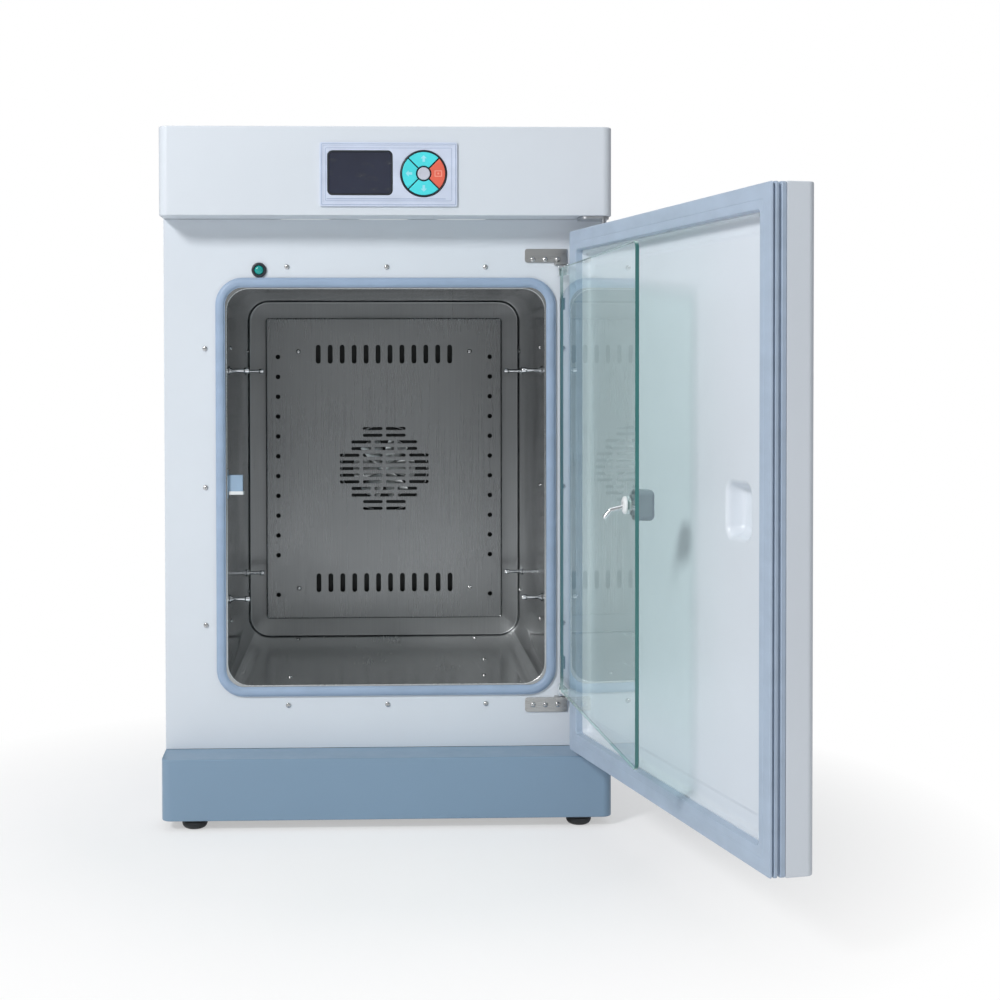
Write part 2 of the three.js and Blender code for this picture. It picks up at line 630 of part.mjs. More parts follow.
function doorInnerPanel() {
  const edge = FRAME_BAND + GAP;
  const outline = (inset) => roundedRect(-DOOR_HALF + edge + inset, DOOR_BOTTOM + edge + inset,
    DOOR_HALF - edge - inset, DOOR_TOP - edge - inset, 4 - inset);
  const back = PANEL_RECESS - SHEET;
  return piece('door_inner_panel', paint, [
    slabY(outline(0), back, DOOR_BACK - SHEET, 3), doorPocket(SHEET, -37, back + 0.5),
  ], [
    slabY(outline(SHEET), PANEL_RECESS, DOOR_BACK + 1, 3),
    doorPocket(0, -37 + SHEET, PANEL_RECESS + 1),
  ]);
}

function doorInsulation() {
  const half = DOOR_HALF - SHEET - GAP;
  const plan = nosePlan(half, -NOSE_DEPTH + SHEET + GAP, PANEL_RECESS - SHEET - GAP, 7);
  const low = DOOR_BOTTOM + SHEET + GAP;
  const high = DOOR_TOP - SHEET - GAP;
  const corner = (z0, z1) => box(250, 280, -50, -30.5, z0, z1);
  return piece('door_insulation', foam, [slabZ(plan, low, high, 4)], [
    doorPocket(SHEET + GAP, -37 - GAP, -15),
    corner(low - 1, DOOR_BOTTOM + 19), corner(DOOR_TOP - 19, high + 1),
  ]);
}

function doorHandle() {
  const [x0, x1, z0, z1] = [-213, -193, 330, 470];
  const front = -NOSE_DEPTH - 18;
  const back = -NOSE_DEPTH - GAP;
  return piece('door_handle', greyPlastic, [
    slabX(roundedRect(front, z0, back, z1, 6), x0, x1, 4),
  ], [slabX(roundedRect(front + 8, z0 + 14, back + 6, z1 - 14, 5), x0 - 1, x1 + 1, 4)]);
}

// turns a group drawn closed about its hinge axis, and opens it
function hung(parts, hinge, angle, drawnAt) {
  const group = new THREE.Group();
  group.position.set(hinge.x, hinge.y, 0);
  group.rotation.z = angle;
  parts.forEach((part) => {
    part.geometry.translate(-drawnAt.x, -drawnAt.y, 0);
    group.add(part);
  });
  return group;
}

function outerDoor() {
  const parts = [doorOuterPan(), doorFrame(), doorInnerPanel(), doorInsulation(), doorHandle()];
  return hung(parts, OUTER_HINGE, OUTER_OPEN, OUTER_HINGE);
}

// ---- glass door, drawn closed with its hinge axis at X = Y = 0 ----
function glassPane() {
  const outline = roundedRect(GLASS_FAR, GLASS_BOTTOM, GLASS_NEAR, GLASS_TOP, 9);
  return piece('glass_pane', glass, [
    slabY(outline, GLASS_BACK - GLASS_THICKNESS, GLASS_BACK, 4),
  ], [rodY(5.3, -5, 5, LATCH_X, LATCH_Z)]);
}

// a plate bonded to the pane's outer face, ending in a lug that turns on the bracket's pin
function glassShoe(name, z0, z1) {
  const outer = GLASS_BACK - GLASS_THICKNESS - GAP;
  const lug = GLASS_NEAR + GAP;
  const plan = polygon([[-34, outer], [-34, outer - 3], [5, outer - 3], [5, 4], [lug, 4],
    [lug, outer]]);
  return piece(name, chrome, [slabZ(plan, z0, z1)], [rodZ(2.3, z0 - 1, z1 + 1, 0, 0, 16)]);
}

function latchCollar() {
  const inner = GLASS_BACK + GAP;
  const profile = [[2.6, -1.5], [5, -1.5], [5, inner], [9, inner], [9, inner + 2.6],
    [7, inner + 4], [2.6, inner + 4], [2.6, -1.5]];
  return piece('latch_collar', whitePlastic, [turnedY(profile, LATCH_X, LATCH_Z, 16)]);
}

function latchKnob() {
  const outer = GLASS_BACK - GLASS_THICKNESS - GAP;
  const grip = roundedRect(LATCH_X - 12, LATCH_Z - 15.5, LATCH_X + 12, LATCH_Z + 15.5, 6);
  return piece('latch_knob', greyPlastic, [
    slabY(grip, outer - 22.5, outer - 3, 3), rodY(11, outer - 3.5, outer - 0.3, LATCH_X, LATCH_Z, 20),
  ], [rodY(2.5, outer - 14, outer + 1, LATCH_X, LATCH_Z, 16)]);
}

function latchRod() {
  const bend = 5;
  const path = new THREE.CurvePath();
  const at = (y, z) => new THREE.Vector3(LATCH_X, y, z);
  const tip = at(HOOK_REACH, LATCH_Z - HOOK_LENGTH);
  path.add(new THREE.LineCurve3(at(-15, LATCH_Z), at(HOOK_REACH - bend, LATCH_Z)));
  path.add(new THREE.QuadraticBezierCurve3(at(HOOK_REACH - bend, LATCH_Z),
    at(HOOK_REACH, LATCH_Z), at(HOOK_REACH, LATCH_Z - bend)));
  path.add(new THREE.LineCurve3(at(HOOK_REACH, LATCH_Z - bend), tip));
  const section = new THREE.Shape().absarc(0, 0, 2.1, 0, Math.PI * 2);
  return piece('latch_rod', chrome, [new THREE.ExtrudeGeometry(section, {
    steps: 16, curveSegments: 4, extrudePath: path,
  })]);
}

function glassDoor() {
  const parts = [glassPane(), glassShoe('upper_glass_shoe', 664, GLASS_TOP + 3),
    glassShoe('lower_glass_shoe', 142.5, 157), latchCollar(), latchKnob(), latchRod()];
  return hung(parts, GLASS_HINGE, GLASS_OPEN, { x: 0, y: 0 });
}

// ---- assembly ----
function casing() {
  return [sidePanel('left_side_panel', -1), sidePanel('right_side_panel', 1), topCover(),
    frontPanel(), topHood(), basePlinth(), basePan(), rearCover(),
    ...footPlaces().map(([name, x, y]) => foot(name, x, y)),
    footRail('left_base_rail', -FOOT_X), footRail('right_base_rail', FOOT_X)];
}

function chamber() {
  const studs = [];
  for (const [level, z] of [['lower', 256], ['upper', 548]]) {
    for (const [place, y] of [['front', 63], ['rear', 345]]) {
      studs.push(shelfStud(`${level}_${place}_left_stud`, -1, y, z));
      studs.push(shelfStud(`${level}_${place}_right_stud`, 1, y, z));
    }
  }
  return [chamberLiner(), chamberGasket(), insulation(), ductPanel(), fanMotor(), fanImpeller(),
    heaterElement(), temperatureSensor(), latchStrike(), ...studs];
}

function hingeHardware() {
  return [glassBracket('upper_glass_bracket', 681.6, 698.3, 678.2, 666, 680),
    glassBracket('lower_glass_bracket', 121, 138.8, 138, 140, 155),
    upperDoorBracket(), lowerDoorBracket()];
}

function controls() {
  return [controlBezel(), displayModule(), keypadRing(), controlBoard(),
    sectorKey('key_right', keyRed, 0), sectorKey('key_up', keyCyan, Math.PI / 2),
    sectorKey('key_left', keyCyan, Math.PI), sectorKey('key_down', keyCyan, -Math.PI / 2),
    centreKey(), doorSwitchBezel(), doorSwitchPlunger(), powerInlet(), powerRocker()];
}

const incubator = new THREE.Group();
incubator.add(...casing(), ...chamber(), ...hingeHardware(), ...controls(), outerDoor(),
  glassDoor());
export default incubator;
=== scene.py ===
"""Laboratory incubator: the looks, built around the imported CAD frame.

Shapes are written in millimetres in the row frame (X right, Y into the cabinet, Z up) and turned into
metres when a mesh is made. Pieces of the doors are drawn closed and then swung to where the door stands.
"""

import json
import math
import random

import bmesh
import bpy
from mathutils import Matrix, Vector

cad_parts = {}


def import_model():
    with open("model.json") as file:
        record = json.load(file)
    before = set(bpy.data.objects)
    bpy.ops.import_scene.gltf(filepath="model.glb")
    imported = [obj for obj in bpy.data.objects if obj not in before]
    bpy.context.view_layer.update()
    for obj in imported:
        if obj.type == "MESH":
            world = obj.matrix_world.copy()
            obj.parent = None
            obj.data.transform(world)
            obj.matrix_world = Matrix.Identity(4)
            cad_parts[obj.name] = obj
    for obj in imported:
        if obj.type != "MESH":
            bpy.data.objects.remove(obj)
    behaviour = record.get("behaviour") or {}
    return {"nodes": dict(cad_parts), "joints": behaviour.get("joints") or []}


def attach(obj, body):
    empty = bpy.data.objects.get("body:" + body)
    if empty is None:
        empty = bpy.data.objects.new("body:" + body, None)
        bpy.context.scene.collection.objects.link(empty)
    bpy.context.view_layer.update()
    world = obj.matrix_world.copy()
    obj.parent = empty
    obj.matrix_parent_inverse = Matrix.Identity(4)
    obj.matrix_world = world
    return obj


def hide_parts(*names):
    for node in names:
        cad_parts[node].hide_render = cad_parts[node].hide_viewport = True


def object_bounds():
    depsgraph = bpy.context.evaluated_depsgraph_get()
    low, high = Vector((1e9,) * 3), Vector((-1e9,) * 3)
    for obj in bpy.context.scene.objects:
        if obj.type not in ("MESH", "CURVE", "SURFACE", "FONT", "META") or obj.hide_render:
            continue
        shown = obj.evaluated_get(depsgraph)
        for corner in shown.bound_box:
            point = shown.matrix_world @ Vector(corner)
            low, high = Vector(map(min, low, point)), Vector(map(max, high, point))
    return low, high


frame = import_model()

CAD_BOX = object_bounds()
MM = 0.001
UP = Vector((0, 0, 1))
INWARD = Vector((0, 1, 0))
CLOSED = Matrix.Identity(4)
UPRIGHT = Matrix(((1, 0, 0), (0, 0, 1), (0, 1, 0))).to_4x4()  # lays a flat outline's Y along Z
nodes = frame["nodes"]
rng = random.Random(7)


# ---- places taken from the frame ----
def joint(name):
    return next(j for j in frame["joints"] if j["name"] == name)


def swing(name):
    """The turn from a door's closed place to where it stands at rest."""
    hinge = joint(name)
    pivot = Matrix.Translation((hinge["pos_m"][0], hinge["pos_m"][1], 0))
    angle = math.radians(-hinge["range_deg"][0])
    return pivot @ Matrix.Rotation(angle, 4, "Z") @ pivot.inverted()


def extent(node, turned=CLOSED):
    """Lowest and highest corner of a CAD node in millimetres, with its door closed."""
    back = turned.inverted()
    points = [back @ v.co / MM for v in nodes[node].data.vertices]
    return (Vector([min(p[i] for p in points) for i in range(3)]),
            Vector([max(p[i] for p in points) for i in range(3)]))


OUTER = swing("outer_door_hinge")
GLASS = swing("glass_door_hinge")


# ---- mesh making ----
def soften(piece, angle=32):
    """Smooth shading that keeps real edges sharp."""
    piece.data.shade_smooth()
    piece.data.set_sharp_from_angle(angle=math.radians(angle))
    return piece


def linked(name, data):
    """A new object in the scene."""
    piece = bpy.data.objects.new(name, data)
    bpy.context.scene.collection.objects.link(piece)
    return piece


def weld(mesh):
    """Merges a mesh's doubled points and turns its faces outwards."""
    bm = bmesh.new()
    bm.from_mesh(mesh)
    bmesh.ops.remove_doubles(bm, verts=bm.verts, dist=1e-6)
    bmesh.ops.recalc_face_normals(bm, faces=bm.faces)
    bm.to_mesh(mesh)
    bm.free()


def make(name, vertices, faces):
    """A mesh object from millimetre points, with its faces turned outwards."""
    mesh = bpy.data.meshes.new(name)
    mesh.from_pydata([Vector(v) * MM for v in vertices], [], faces)
    mesh.validate()
    weld(mesh)
    return soften(linked(name, mesh))


def dress(piece, body, material, *stands_for, turned=CLOSED):
    """Puts a finished piece in its place, on its body and in its material."""
    piece.data.transform(turned)
    if not piece.data.materials:
        piece.data.materials.append(material)
    normals = piece.modifiers.new("normals", "WEIGHTED_NORMAL")
    normals.keep_sharp = True
    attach(piece, body)
    if stands_for:
        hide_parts(*stands_for)


def join(name, pieces):
    """One mesh object out of several."""
    bm = bmesh.new()
    for piece in pieces:
        bm.from_mesh(piece.data)
    mesh = bpy.data.meshes.new(name)
    bm.to_mesh(mesh)
    bm.free()
    for piece in pieces:
        old = piece.data
        bpy.data.objects.remove(piece)
        bpy.data.meshes.remove(old)
    return soften(linked(name, mesh))


def applied(piece):
    """The piece with its modifiers or curve turned into plain mesh."""
    bpy.context.view_layer.update()
    shape = piece.evaluated_get(bpy.context.evaluated_depsgraph_get())
    mesh = bpy.data.meshes.new_from_object(shape)
    name = piece.name
    bpy.data.objects.remove(piece)
    return linked(name, mesh)


def cut(piece, tool):
    """The piece less the tool."""
    modifier = piece.modifiers.new("cut", "BOOLEAN")
    modifier.operation = "DIFFERENCE"
    modifier.solver = "EXACT"
    modifier.object = tool
    made = applied(piece)
    bpy.data.objects.remove(tool)
    return soften(made)


def rounded(cx, cz, half_x, half_z, radius, steps=10):
    """Points round a rectangle with rounded corners."""
    radius = max(radius, 0.01)
    points = []
    for corner, (sx, sz) in enumerate(((1, 1), (-1, 1), (-1, -1), (1, -1))):
        for i in range(steps + 1):
            a = math.pi / 2 * (corner + i / steps)
            points.append((cx + sx * (half_x - radius) + radius * math.cos(a),
                           cz + sz * (half_z - radius) + radius * math.sin(a)))
    return points


def circle(cx, cz, radius, steps=32):
    turn = 2 * math.pi / steps
    return [(cx + radius * math.cos(i * turn), cz + radius * math.sin(i * turn)) for i in range(steps)]


def loft(name, rings, ends=True, loop=False):
    """A skin over closed rings of points, each ring with the same number of points."""
    count = len(rings[0])
    vertices = [p for ring in rings for p in ring]
    faces = []
    last = len(rings) if loop else len(rings) - 1
    for k in range(last):
        a, b = k * count, (k + 1) % len(rings) * count
        for i in range(count):
            j = (i + 1) % count
            faces.append((a + i, a + j, b + j, b + i))
    if ends and not loop:
        faces.append(tuple(range(count)))
        faces.append(tuple(range((len(rings) - 1) * count, len(rings) * count)))
    return make(name, vertices, faces)


def frame_loft(name, box, radius, profile, spread=1.0, loop=True, steps=10):
    """Rounded-rectangle rings in X and Z. The profile holds (outward offset, y) points; spread says how
    much a corner's radius grows with the offset: 1 for concentric corners, less for mitred ones."""
    x0, z0, x1, z1 = box
    rings = []
    for offset, y in profile:
        ring = rounded((x0 + x1) / 2, (z0 + z1) / 2, (x1 - x0) / 2 + offset, (z1 - z0) / 2 + offset,
                       radius + spread * offset, steps)
        rings.append([(x, y, z) for x, z in ring])
    return loft(name, rings, loop=loop, ends=False)


def plate(name, outlines, y0, y1, bevel=0.3, across="Y", segments=2):
    """A plate with eased edges; the first outline is its edge and the others are holes.
    It lies across Y, with outlines in X and Z, or across Z, with outlines in X and Y."""
    bevel = min(bevel, (y1 - y0) * 0.45)
    curve = bpy.data.curves.new(name, "CURVE")
    curve.dimensions = "2D"
    curve.fill_mode = "BOTH"
    curve.extrude = ((y1 - y0) / 2 - bevel) * MM
    curve.bevel_depth = bevel * MM
    curve.bevel_resolution = segments
    curve.offset = -bevel * MM
    for outline in outlines:
        spline = curve.splines.new("POLY")
        spline.points.add(len(outline) - 1)
        for point, (u, v) in zip(spline.points, outline):
            point.co = (u * MM, v * MM, 0, 1)
        spline.use_cyclic_u = True
    made = applied(linked(name, curve))
    axes, normal = (UPRIGHT, INWARD) if across == "Y" else (CLOSED, UP)
    made.data.transform(Matrix.Translation(normal * (y0 + y1) / 2 * MM) @ axes)
    weld(made.data)
    return soften(made)


def turned_piece(name, profile, place, axis, steps=40):
    """A lathe shape: (radius, height) points about an axis through a place."""
    side = axis.orthogonal().normalized()
    other = axis.cross(side)
    rings = []
    for radius, height in profile:
        centre = Vector(place) + axis * height
        rings.append([centre + (side * math.cos(a) + other * math.sin(a)) * max(radius, 0.001)
                      for a in (2 * math.pi * i / steps for i in range(steps))])
    return loft(name, rings)


def tube(name, points, radius, steps=20):
    """A round bar along points, with domed ends."""
    points = [Vector(p) for p in points]
    ends = [(points[0], points[0] - points[1]), (points[-1], points[-1] - points[-2])]
    stations = []
    for k, (point, outward) in enumerate(ends):
        dome = [(point + outward.normalized() * radius * math.sin(a), radius * math.cos(a))
                for a in (0.3, 0.75, 1.15, 1.5)]
        stations.append(dome[::-1] if k == 0 else dome)
    path = stations[0] + [(p, radius) for p in points] + stations[1]
    side = (points[1] - points[0]).orthogonal().normalized()
    rings = []
    for k, (centre, r) in enumerate(path):
        before, after = path[max(k - 1, 0)][0], path[min(k + 1, len(path) - 1)][0]
        along = (after - before).normalized()
        side = (side - along * side.dot(along)).normalized()
        other = along.cross(side)
        rings.append([centre + (side * math.cos(a) + other * math.sin(a)) * r
                      for a in (2 * math.pi * i / steps for i in range(steps))])
    return loft(name, rings)


def pressed(skin, at_end, facing, thickness, angle):
    """Closes the skin's far end, which at_end tells by its Y, turns that face's normal to +Y or -Y
    and gives the skin a thickness."""
    bm = bmesh.new()
    bm.from_mesh(skin.data)
    bmesh.ops.holes_fill(bm, edges=[e for e in bm.edges if e.is_boundary and at_end(e.verts[0].co.y)])
    bmesh.ops.recalc_face_normals(bm, faces=bm.faces)
    end = next(f for f in bm.faces if at_end(f.calc_center_median().y))
    if end.normal.y * facing < 0:
        bmesh.ops.reverse_faces(bm, faces=bm.faces)
    bm.to_mesh(skin.data)
    bm.free()
    sheet = skin.modifiers.new("sheet", "SOLIDIFY")
    sheet.thickness = thickness * MM
    sheet.offset = -1
    return soften(applied(skin), angle)


def arc_points(corner, start, end, radius, steps=8):
    """Points of a fillet at a corner between two directions."""
    a, b = (start - corner).normalized(), (end - corner).normalized()
    half = a.angle(b) / 2
    reach = radius / math.tan(half)
    centre = corner + (a + b).normalized() * radius / math.sin(half)
    p, q = corner + a * reach - centre, corner + b * reach - centre
    return [centre + p.slerp(q, i / steps) for i in range(steps + 1)]


# ---- materials ----
class Graph:
    """A material's node tree, with short calls for its nodes."""

    def __init__(self, name, slot):
        self.material = bpy.data.materials.new(name)
        self.material["slot"] = slot
        self.material.use_nodes = True
        self.tree = self.material.node_tree
        self.surface = self.tree.nodes["Principled BSDF"]
        self.output = self.tree.nodes["Material Output"]
        self.place = self.node("ShaderNodeTexCoord").outputs["Object"]

    def node(self, kind, inputs=None, **settings):
        made = self.tree.nodes.new(kind)
        for key, value in settings.items():
            setattr(made, key, value)
        for key, value in (inputs or {}).items():
            self.feed(made.inputs[key], value)
        return made

    def feed(self, socket, value):
        if isinstance(value, bpy.types.NodeSocket):
            self.tree.links.new(value, socket)
        else:
            socket.default_value = value

    def noise(self, scale, detail=2.0, stretch=(1, 1, 1), rough=0.5):
        spread = self.node("ShaderNodeMapping", {"Vector": self.place, "Scale": stretch})
        return self.node("ShaderNodeTexNoise", {
            "Vector": spread.outputs[0], "Scale": scale, "Detail": detail, "Roughness": rough,
        }).outputs[0]

    def span(self, value, low, high, start=0.3, stop=0.7):
        return self.node("ShaderNodeMapRange", {
            "Value": value, "From Min": start, "From Max": stop, "To Min": low, "To Max": high,
        }).outputs[0]

    def mix(self, factor, first, second):
        made = self.node("ShaderNodeMix", data_type="RGBA")
        for index, value in ((0, factor), (6, first), (7, second)):
            self.feed(made.inputs[index], value)
        return made.outputs[2]

    def bump(self, layers):
        """Stacks (height, millimetres) layers of relief."""
        normal = None
        for height, depth in layers:
            inputs = {"Height": height, "Distance": depth * MM, "Strength": 1.0}
            if normal is not None:
                inputs["Normal"] = normal
            normal = self.node("ShaderNodeBump", inputs).outputs[0]
        self.feed(self.surface.inputs["Normal"], normal)

    def set(self, **inputs):
        for key, value in inputs.items():
            self.feed(self.surface.inputs[key.replace("_", " ")], value)
        return self.material


def shade(colour, factor):
    return tuple(min(c * factor, 1) for c in colour[:3]) + (1,)


def powder_coat(name, slot, colour, gloss=0.36):
    """Powder coat: orange peel of about a millimetre, soft patches of tone and a few dull specks."""
    g = Graph(name, slot)
    tone = g.mix(g.span(g.noise(3.5, 3), 0, 1), shade(colour, 0.965), shade(colour, 1.02))
    fleck = g.span(g.noise(2600, 1), 0, 1, 0.66, 0.8)
    g.bump([(g.noise(640, 2), 0.012), (g.noise(2600, 1), 0.003)])
    rough = g.span(g.noise(45, 3), gloss - 0.04, gloss + 0.06)
    return g.set(Base_Color=g.mix(fleck, tone, shade(colour, 0.93)), Roughness=rough,
                 Coat_Weight=0.15, Coat_Roughness=0.25)


def brushed_steel(name, colour, grain, rough, relief):
    """Ground steel: grain drawn out along one axis, handling haze and a little waviness."""
    g = Graph(name, "stainless")
    line = g.noise(700, 3, grain, 0.6)
    haze = g.noise(9, 4)
    tone = g.mix(g.span(line, 0, 1), shade(colour, 0.95), shade(colour, 1.05))
    tone = g.mix(g.span(haze, 0, 0.2), tone, shade(colour, 0.85))
    low, high = rough
    gloss = g.node("ShaderNodeMath", {0: g.span(line, low, high), 1: g.span(haze, -0.03, 0.05)},
                   operation="ADD").outputs[0]
    g.bump([(g.noise(5, 1), 0.35), (line, relief)])
    return g.set(Base_Color=tone, Metallic=1.0, Roughness=gloss, Anisotropic=0.35)


def bright_metal(name, slot, colour, rough=0.07):
    """Chrome or zinc with faint polishing marks and dulled spots."""
    g = Graph(name, slot)
    spots = g.noise(130, 4)
    g.bump([(g.noise(900, 2, (1, 1, 0.2)), 0.002)])
    return g.set(Base_Color=g.mix(g.span(spots, 0, 1), shade(colour, 0.9), shade(colour, 1.05)),
                 Metallic=1.0, Roughness=g.span(spots, rough, rough + 0.08))


def moulded(name, slot, colour, rough=0.42, texture=0.01, scale=1500, sheen=0.0):
    """Moulded plastic or rubber: fine spark-eroded texture, slight flow marks in the tone."""
    g = Graph(name, slot)
    flow = g.noise(22, 3, (1, 1, 2.2))
    g.bump([(g.noise(scale, 3), texture), (g.noise(160, 1), texture * 0.8)])
    return g.set(Base_Color=g.mix(g.span(flow, 0, 1), shade(colour, 0.93), shade(colour, 1.04)),
                 Roughness=g.span(g.noise(70, 3), rough - 0.04, rough + 0.06), Sheen_Weight=sheen)


def fibre_board(name, slot, colour):
    """Mineral wool: fibres and darker binder patches."""
    g = Graph(name, slot)
    fibre = g.noise(420, 6, (1, 1, 6))
    g.bump([(fibre, 0.6), (g.noise(60, 4), 1.0)])
    return g.set(Base_Color=g.mix(g.span(fibre, 0, 1), shade(colour, 0.7), shade(colour, 1.15)),
                 Roughness=0.95)


def screen_glass(name, slot):
    """A dark display behind a glossy window, with a faint cell grid and wiping marks."""
    g = Graph(name, slot)
    grid = g.node("ShaderNodeTexChecker", {"Vector": g.place, "Scale": 1600.0}).outputs[1]
    deep = g.mix(g.span(g.noise(18, 2), 0, 1), (0.013, 0.016, 0.034, 1), (0.02, 0.025, 0.05, 1))
    smear = g.span(g.noise(55, 4, (1, 1, 2.5)), 0, 0.5, 0.6, 0.75)
    lit = g.mix(smear, deep, (0.04, 0.043, 0.045, 1))
    tint = g.mix(g.span(grid, 0, 0.08, 0, 1), lit, (0.06, 0.07, 0.12, 1))
    return g.set(Base_Color=tint, Roughness=g.span(smear, 0.1, 0.3, 0, 0.5), Coat_Weight=0.35,
                 Coat_Roughness=0.04)


def circuit(name, slot):
    """Green solder mask over copper tracks."""
    g = Graph(name, slot)
    tracks = g.node("ShaderNodeTexBrick", {
        "Vector": g.place, "Scale": 160.0, "Color1": (0.01, 0.13, 0.05, 1),
        "Color2": (0.012, 0.16, 0.06, 1), "Mortar": (0.03, 0.26, 0.1, 1)})
    g.bump([(tracks.outputs[1], 0.03)])
    return g.set(Base_Color=tracks.outputs[0], Roughness=0.35)


def see_through(g, shader):
    """Lets light through, so that the glass throws almost no shadow, and shows the shader to sight."""
    path = g.node("ShaderNodeLightPath")
    passing = g.node("ShaderNodeMath", {0: path.outputs["Is Shadow Ray"],
                                        1: path.outputs["Is Diffuse Ray"]}, operation="MAXIMUM")
    clear = g.node("ShaderNodeBsdfTransparent", {"Color": (0.88, 0.95, 0.93, 1)})
    mixed = g.node("ShaderNodeMixShader", {0: passing.outputs[0], 1: shader, 2: clear.outputs[0]})
    g.feed(g.output.inputs["Surface"], mixed.outputs[0])


def pane_face(name, slot):
    """The pane's faces: clear, faintly green, mirror-like at low angles, with wiping marks."""
    g = Graph(name, slot)
    smear = g.span(g.noise(14, 4, (1, 1, 3)), 0, 1, 0.5, 0.75)
    clear = g.node("ShaderNodeBsdfTransparent", {
        "Color": g.mix(smear, (0.985, 0.995, 0.99, 1), (0.965, 0.985, 0.98, 1))})
    mirror = g.node("ShaderNodeBsdfGlossy", {
        "Color": (0.95, 1.0, 0.99, 1), "Roughness": g.span(smear, 0.0, 0.03, 0, 1)})
    low_angle = g.node("ShaderNodeFresnel", {"IOR": 1.62}).outputs[0]
    behind = g.node("ShaderNodeNewGeometry").outputs["Backfacing"]
    near_side = g.node("ShaderNodeMath", {0: 1.0, 1: behind}, operation="SUBTRACT").outputs[0]
    share = g.node("ShaderNodeMath", {0: low_angle, 1: near_side}, operation="MULTIPLY").outputs[0]
    mixed = g.node("ShaderNodeMixShader", {0: share, 1: clear.outputs[0], 2: mirror.outputs[0]})
    see_through(g, mixed.outputs[0])
    return g.material


def pane_edge(name, slot):
    """The pane's ground edges: deep green where sight runs along the glass."""
    g = Graph(name, slot)
    band = g.noise(30, 3, (1, 1, 0.15))
    g.bump([(g.noise(900, 2), 0.02)])
    deep = g.mix(g.span(band, 0, 1), (0.03, 0.14, 0.135, 1), (0.055, 0.22, 0.21, 1))
    facing = g.node("ShaderNodeSeparateXYZ", {0: g.node("ShaderNodeNewGeometry").outputs["Normal"]})
    upward = g.node("ShaderNodeMath", {0: facing.outputs["Z"]}, operation="ABSOLUTE").outputs[0]
    tint = g.mix(g.span(upward, 0, 1, 0.6, 0.95), deep, (0.42, 0.60, 0.58, 1))
    return g.set(Base_Color=tint, Roughness=0.18, Coat_Weight=0.5)


white_paint = powder_coat("white_powder_coat", "cabinet_paint", (0.70, 0.745, 0.80))
blue_paint = powder_coat("blue_powder_coat", "base_paint", (0.21, 0.315, 0.43), 0.32)
ALONG_X, ALONG_Y, ALONG_Z = (0.02, 1, 1), (1, 0.012, 1), (1, 1, 0.01)
wall_steel = brushed_steel("chamber_steel", (0.39, 0.405, 0.41), ALONG_Y, (0.10, 0.16), 0.0004)
# Lighter copy of the wall steel for the chamber floor: painted light where the floor catches more light.
floor_painted_light_steel = brushed_steel("chamber_floor_painted_light_steel", (0.88, 0.90, 0.90), ALONG_Y, (0.17, 0.25), 0.0004)
duct_steel = brushed_steel("duct_steel", (0.32, 0.33, 0.335), ALONG_Z, (0.24, 0.32), 0.0002)
back_steel = brushed_steel("chamber_back_steel", (0.37, 0.38, 0.385), (1, 1, 0.012), (0.3, 0.38),
                           0.0003)
# Lighter copy of the wall steel for the rolled rim: a painted highlight along the rim.
rim_painted_highlight_steel = brushed_steel("rim_painted_highlight_steel", (0.86, 0.88, 0.89), ALONG_Y, (0.22, 0.3), 0.0004)
# Near-black copy of the steel for the back wall behind the duct panel: painted shade of the unlit plenum,
# seen through the slots.
plenum_painted_shade_steel = brushed_steel("plenum_painted_shade_steel", (0.10, 0.105, 0.105), ALONG_Z, (0.5, 0.6), 0.0012)
plate_steel = brushed_steel("bracket_steel", (0.5, 0.5, 0.49), ALONG_X, (0.25, 0.36), 0.0012)
chrome = bright_metal("bright_chrome", "chrome", (0.83, 0.85, 0.87))
fan_metal = bright_metal("fan_metal", "stainless", (0.8, 0.82, 0.82), 0.3)
zinc = bright_metal("zinc_plating", "zinc_plate", (0.55, 0.57, 0.6), 0.28)
screw_steel = bright_metal("screw_steel", "stainless", (0.6, 0.6, 0.6), 0.18)
seal_grey = moulded("seal_silicone", "seal_rubber", (0.32, 0.42, 0.57), 0.45, 0.01, 900, 0.1)
frame_grey = moulded("door_frame_silicone", "seal_rubber", (0.39, 0.475, 0.59), 0.42, 0.008, 1100, 0.1)
foot_rubber = moulded("foot_rubber", "foot_rubber", (0.012, 0.013, 0.015), 0.6, 0.02, 1200, 0.2)
wool = fibre_board("mineral_wool", "foam", (0.62, 0.55, 0.36))
black_plastic = moulded("black_plastic", "black_plastic", (0.018, 0.022, 0.03), 0.4)
bezel_plastic = moulded("bezel_film", "bezel_plastic", (0.63, 0.69, 0.83), 0.38, 0.004, 2200)
bezel_line = moulded("bezel_line_film", "bezel_plastic", (0.34, 0.42, 0.58), 0.38, 0.004, 2200)
screen = screen_glass("display_screen", "screen")
cyan = moulded("cyan_key", "key_cyan", (0.075, 0.75, 0.80), 0.36, 0.006)
coral = moulded("coral_key", "key_red", (0.80, 0.14, 0.085), 0.36, 0.006)
silver = moulded("silver_key", "key_silver", (0.60, 0.61, 0.70), 0.3, 0.005)
cyan_icon = moulded("pale_cyan_icon", "key_cyan", (0.33, 0.80, 0.90), 0.4, 0.004)
coral_icon = moulded("pale_coral_icon", "key_red", (0.9, 0.33, 0.25), 0.4, 0.004)
board_green = circuit("solder_mask", "circuit_board")
teal = moulded("teal_plunger", "teal_plastic", (0.012, 0.32, 0.29), 0.24, 0.003)
strike_blue = moulded("strike_nylon", "blue_plastic", (0.30, 0.42, 0.56), 0.42)
knob_grey = moulded("knob_plastic", "grey_plastic", (0.25, 0.30, 0.335), 0.4, 0.012)
nylon = moulded("white_nylon", "white_plastic", (0.78, 0.8, 0.81), 0.36, 0.005)
label_tan = moulded("tan_label", "white_plastic", (0.60, 0.42, 0.25), 0.5, 0.006)
glass_face = pane_face("pane_face", "clear_glass")
glass_edge = pane_edge("pane_edge", "clear_glass")


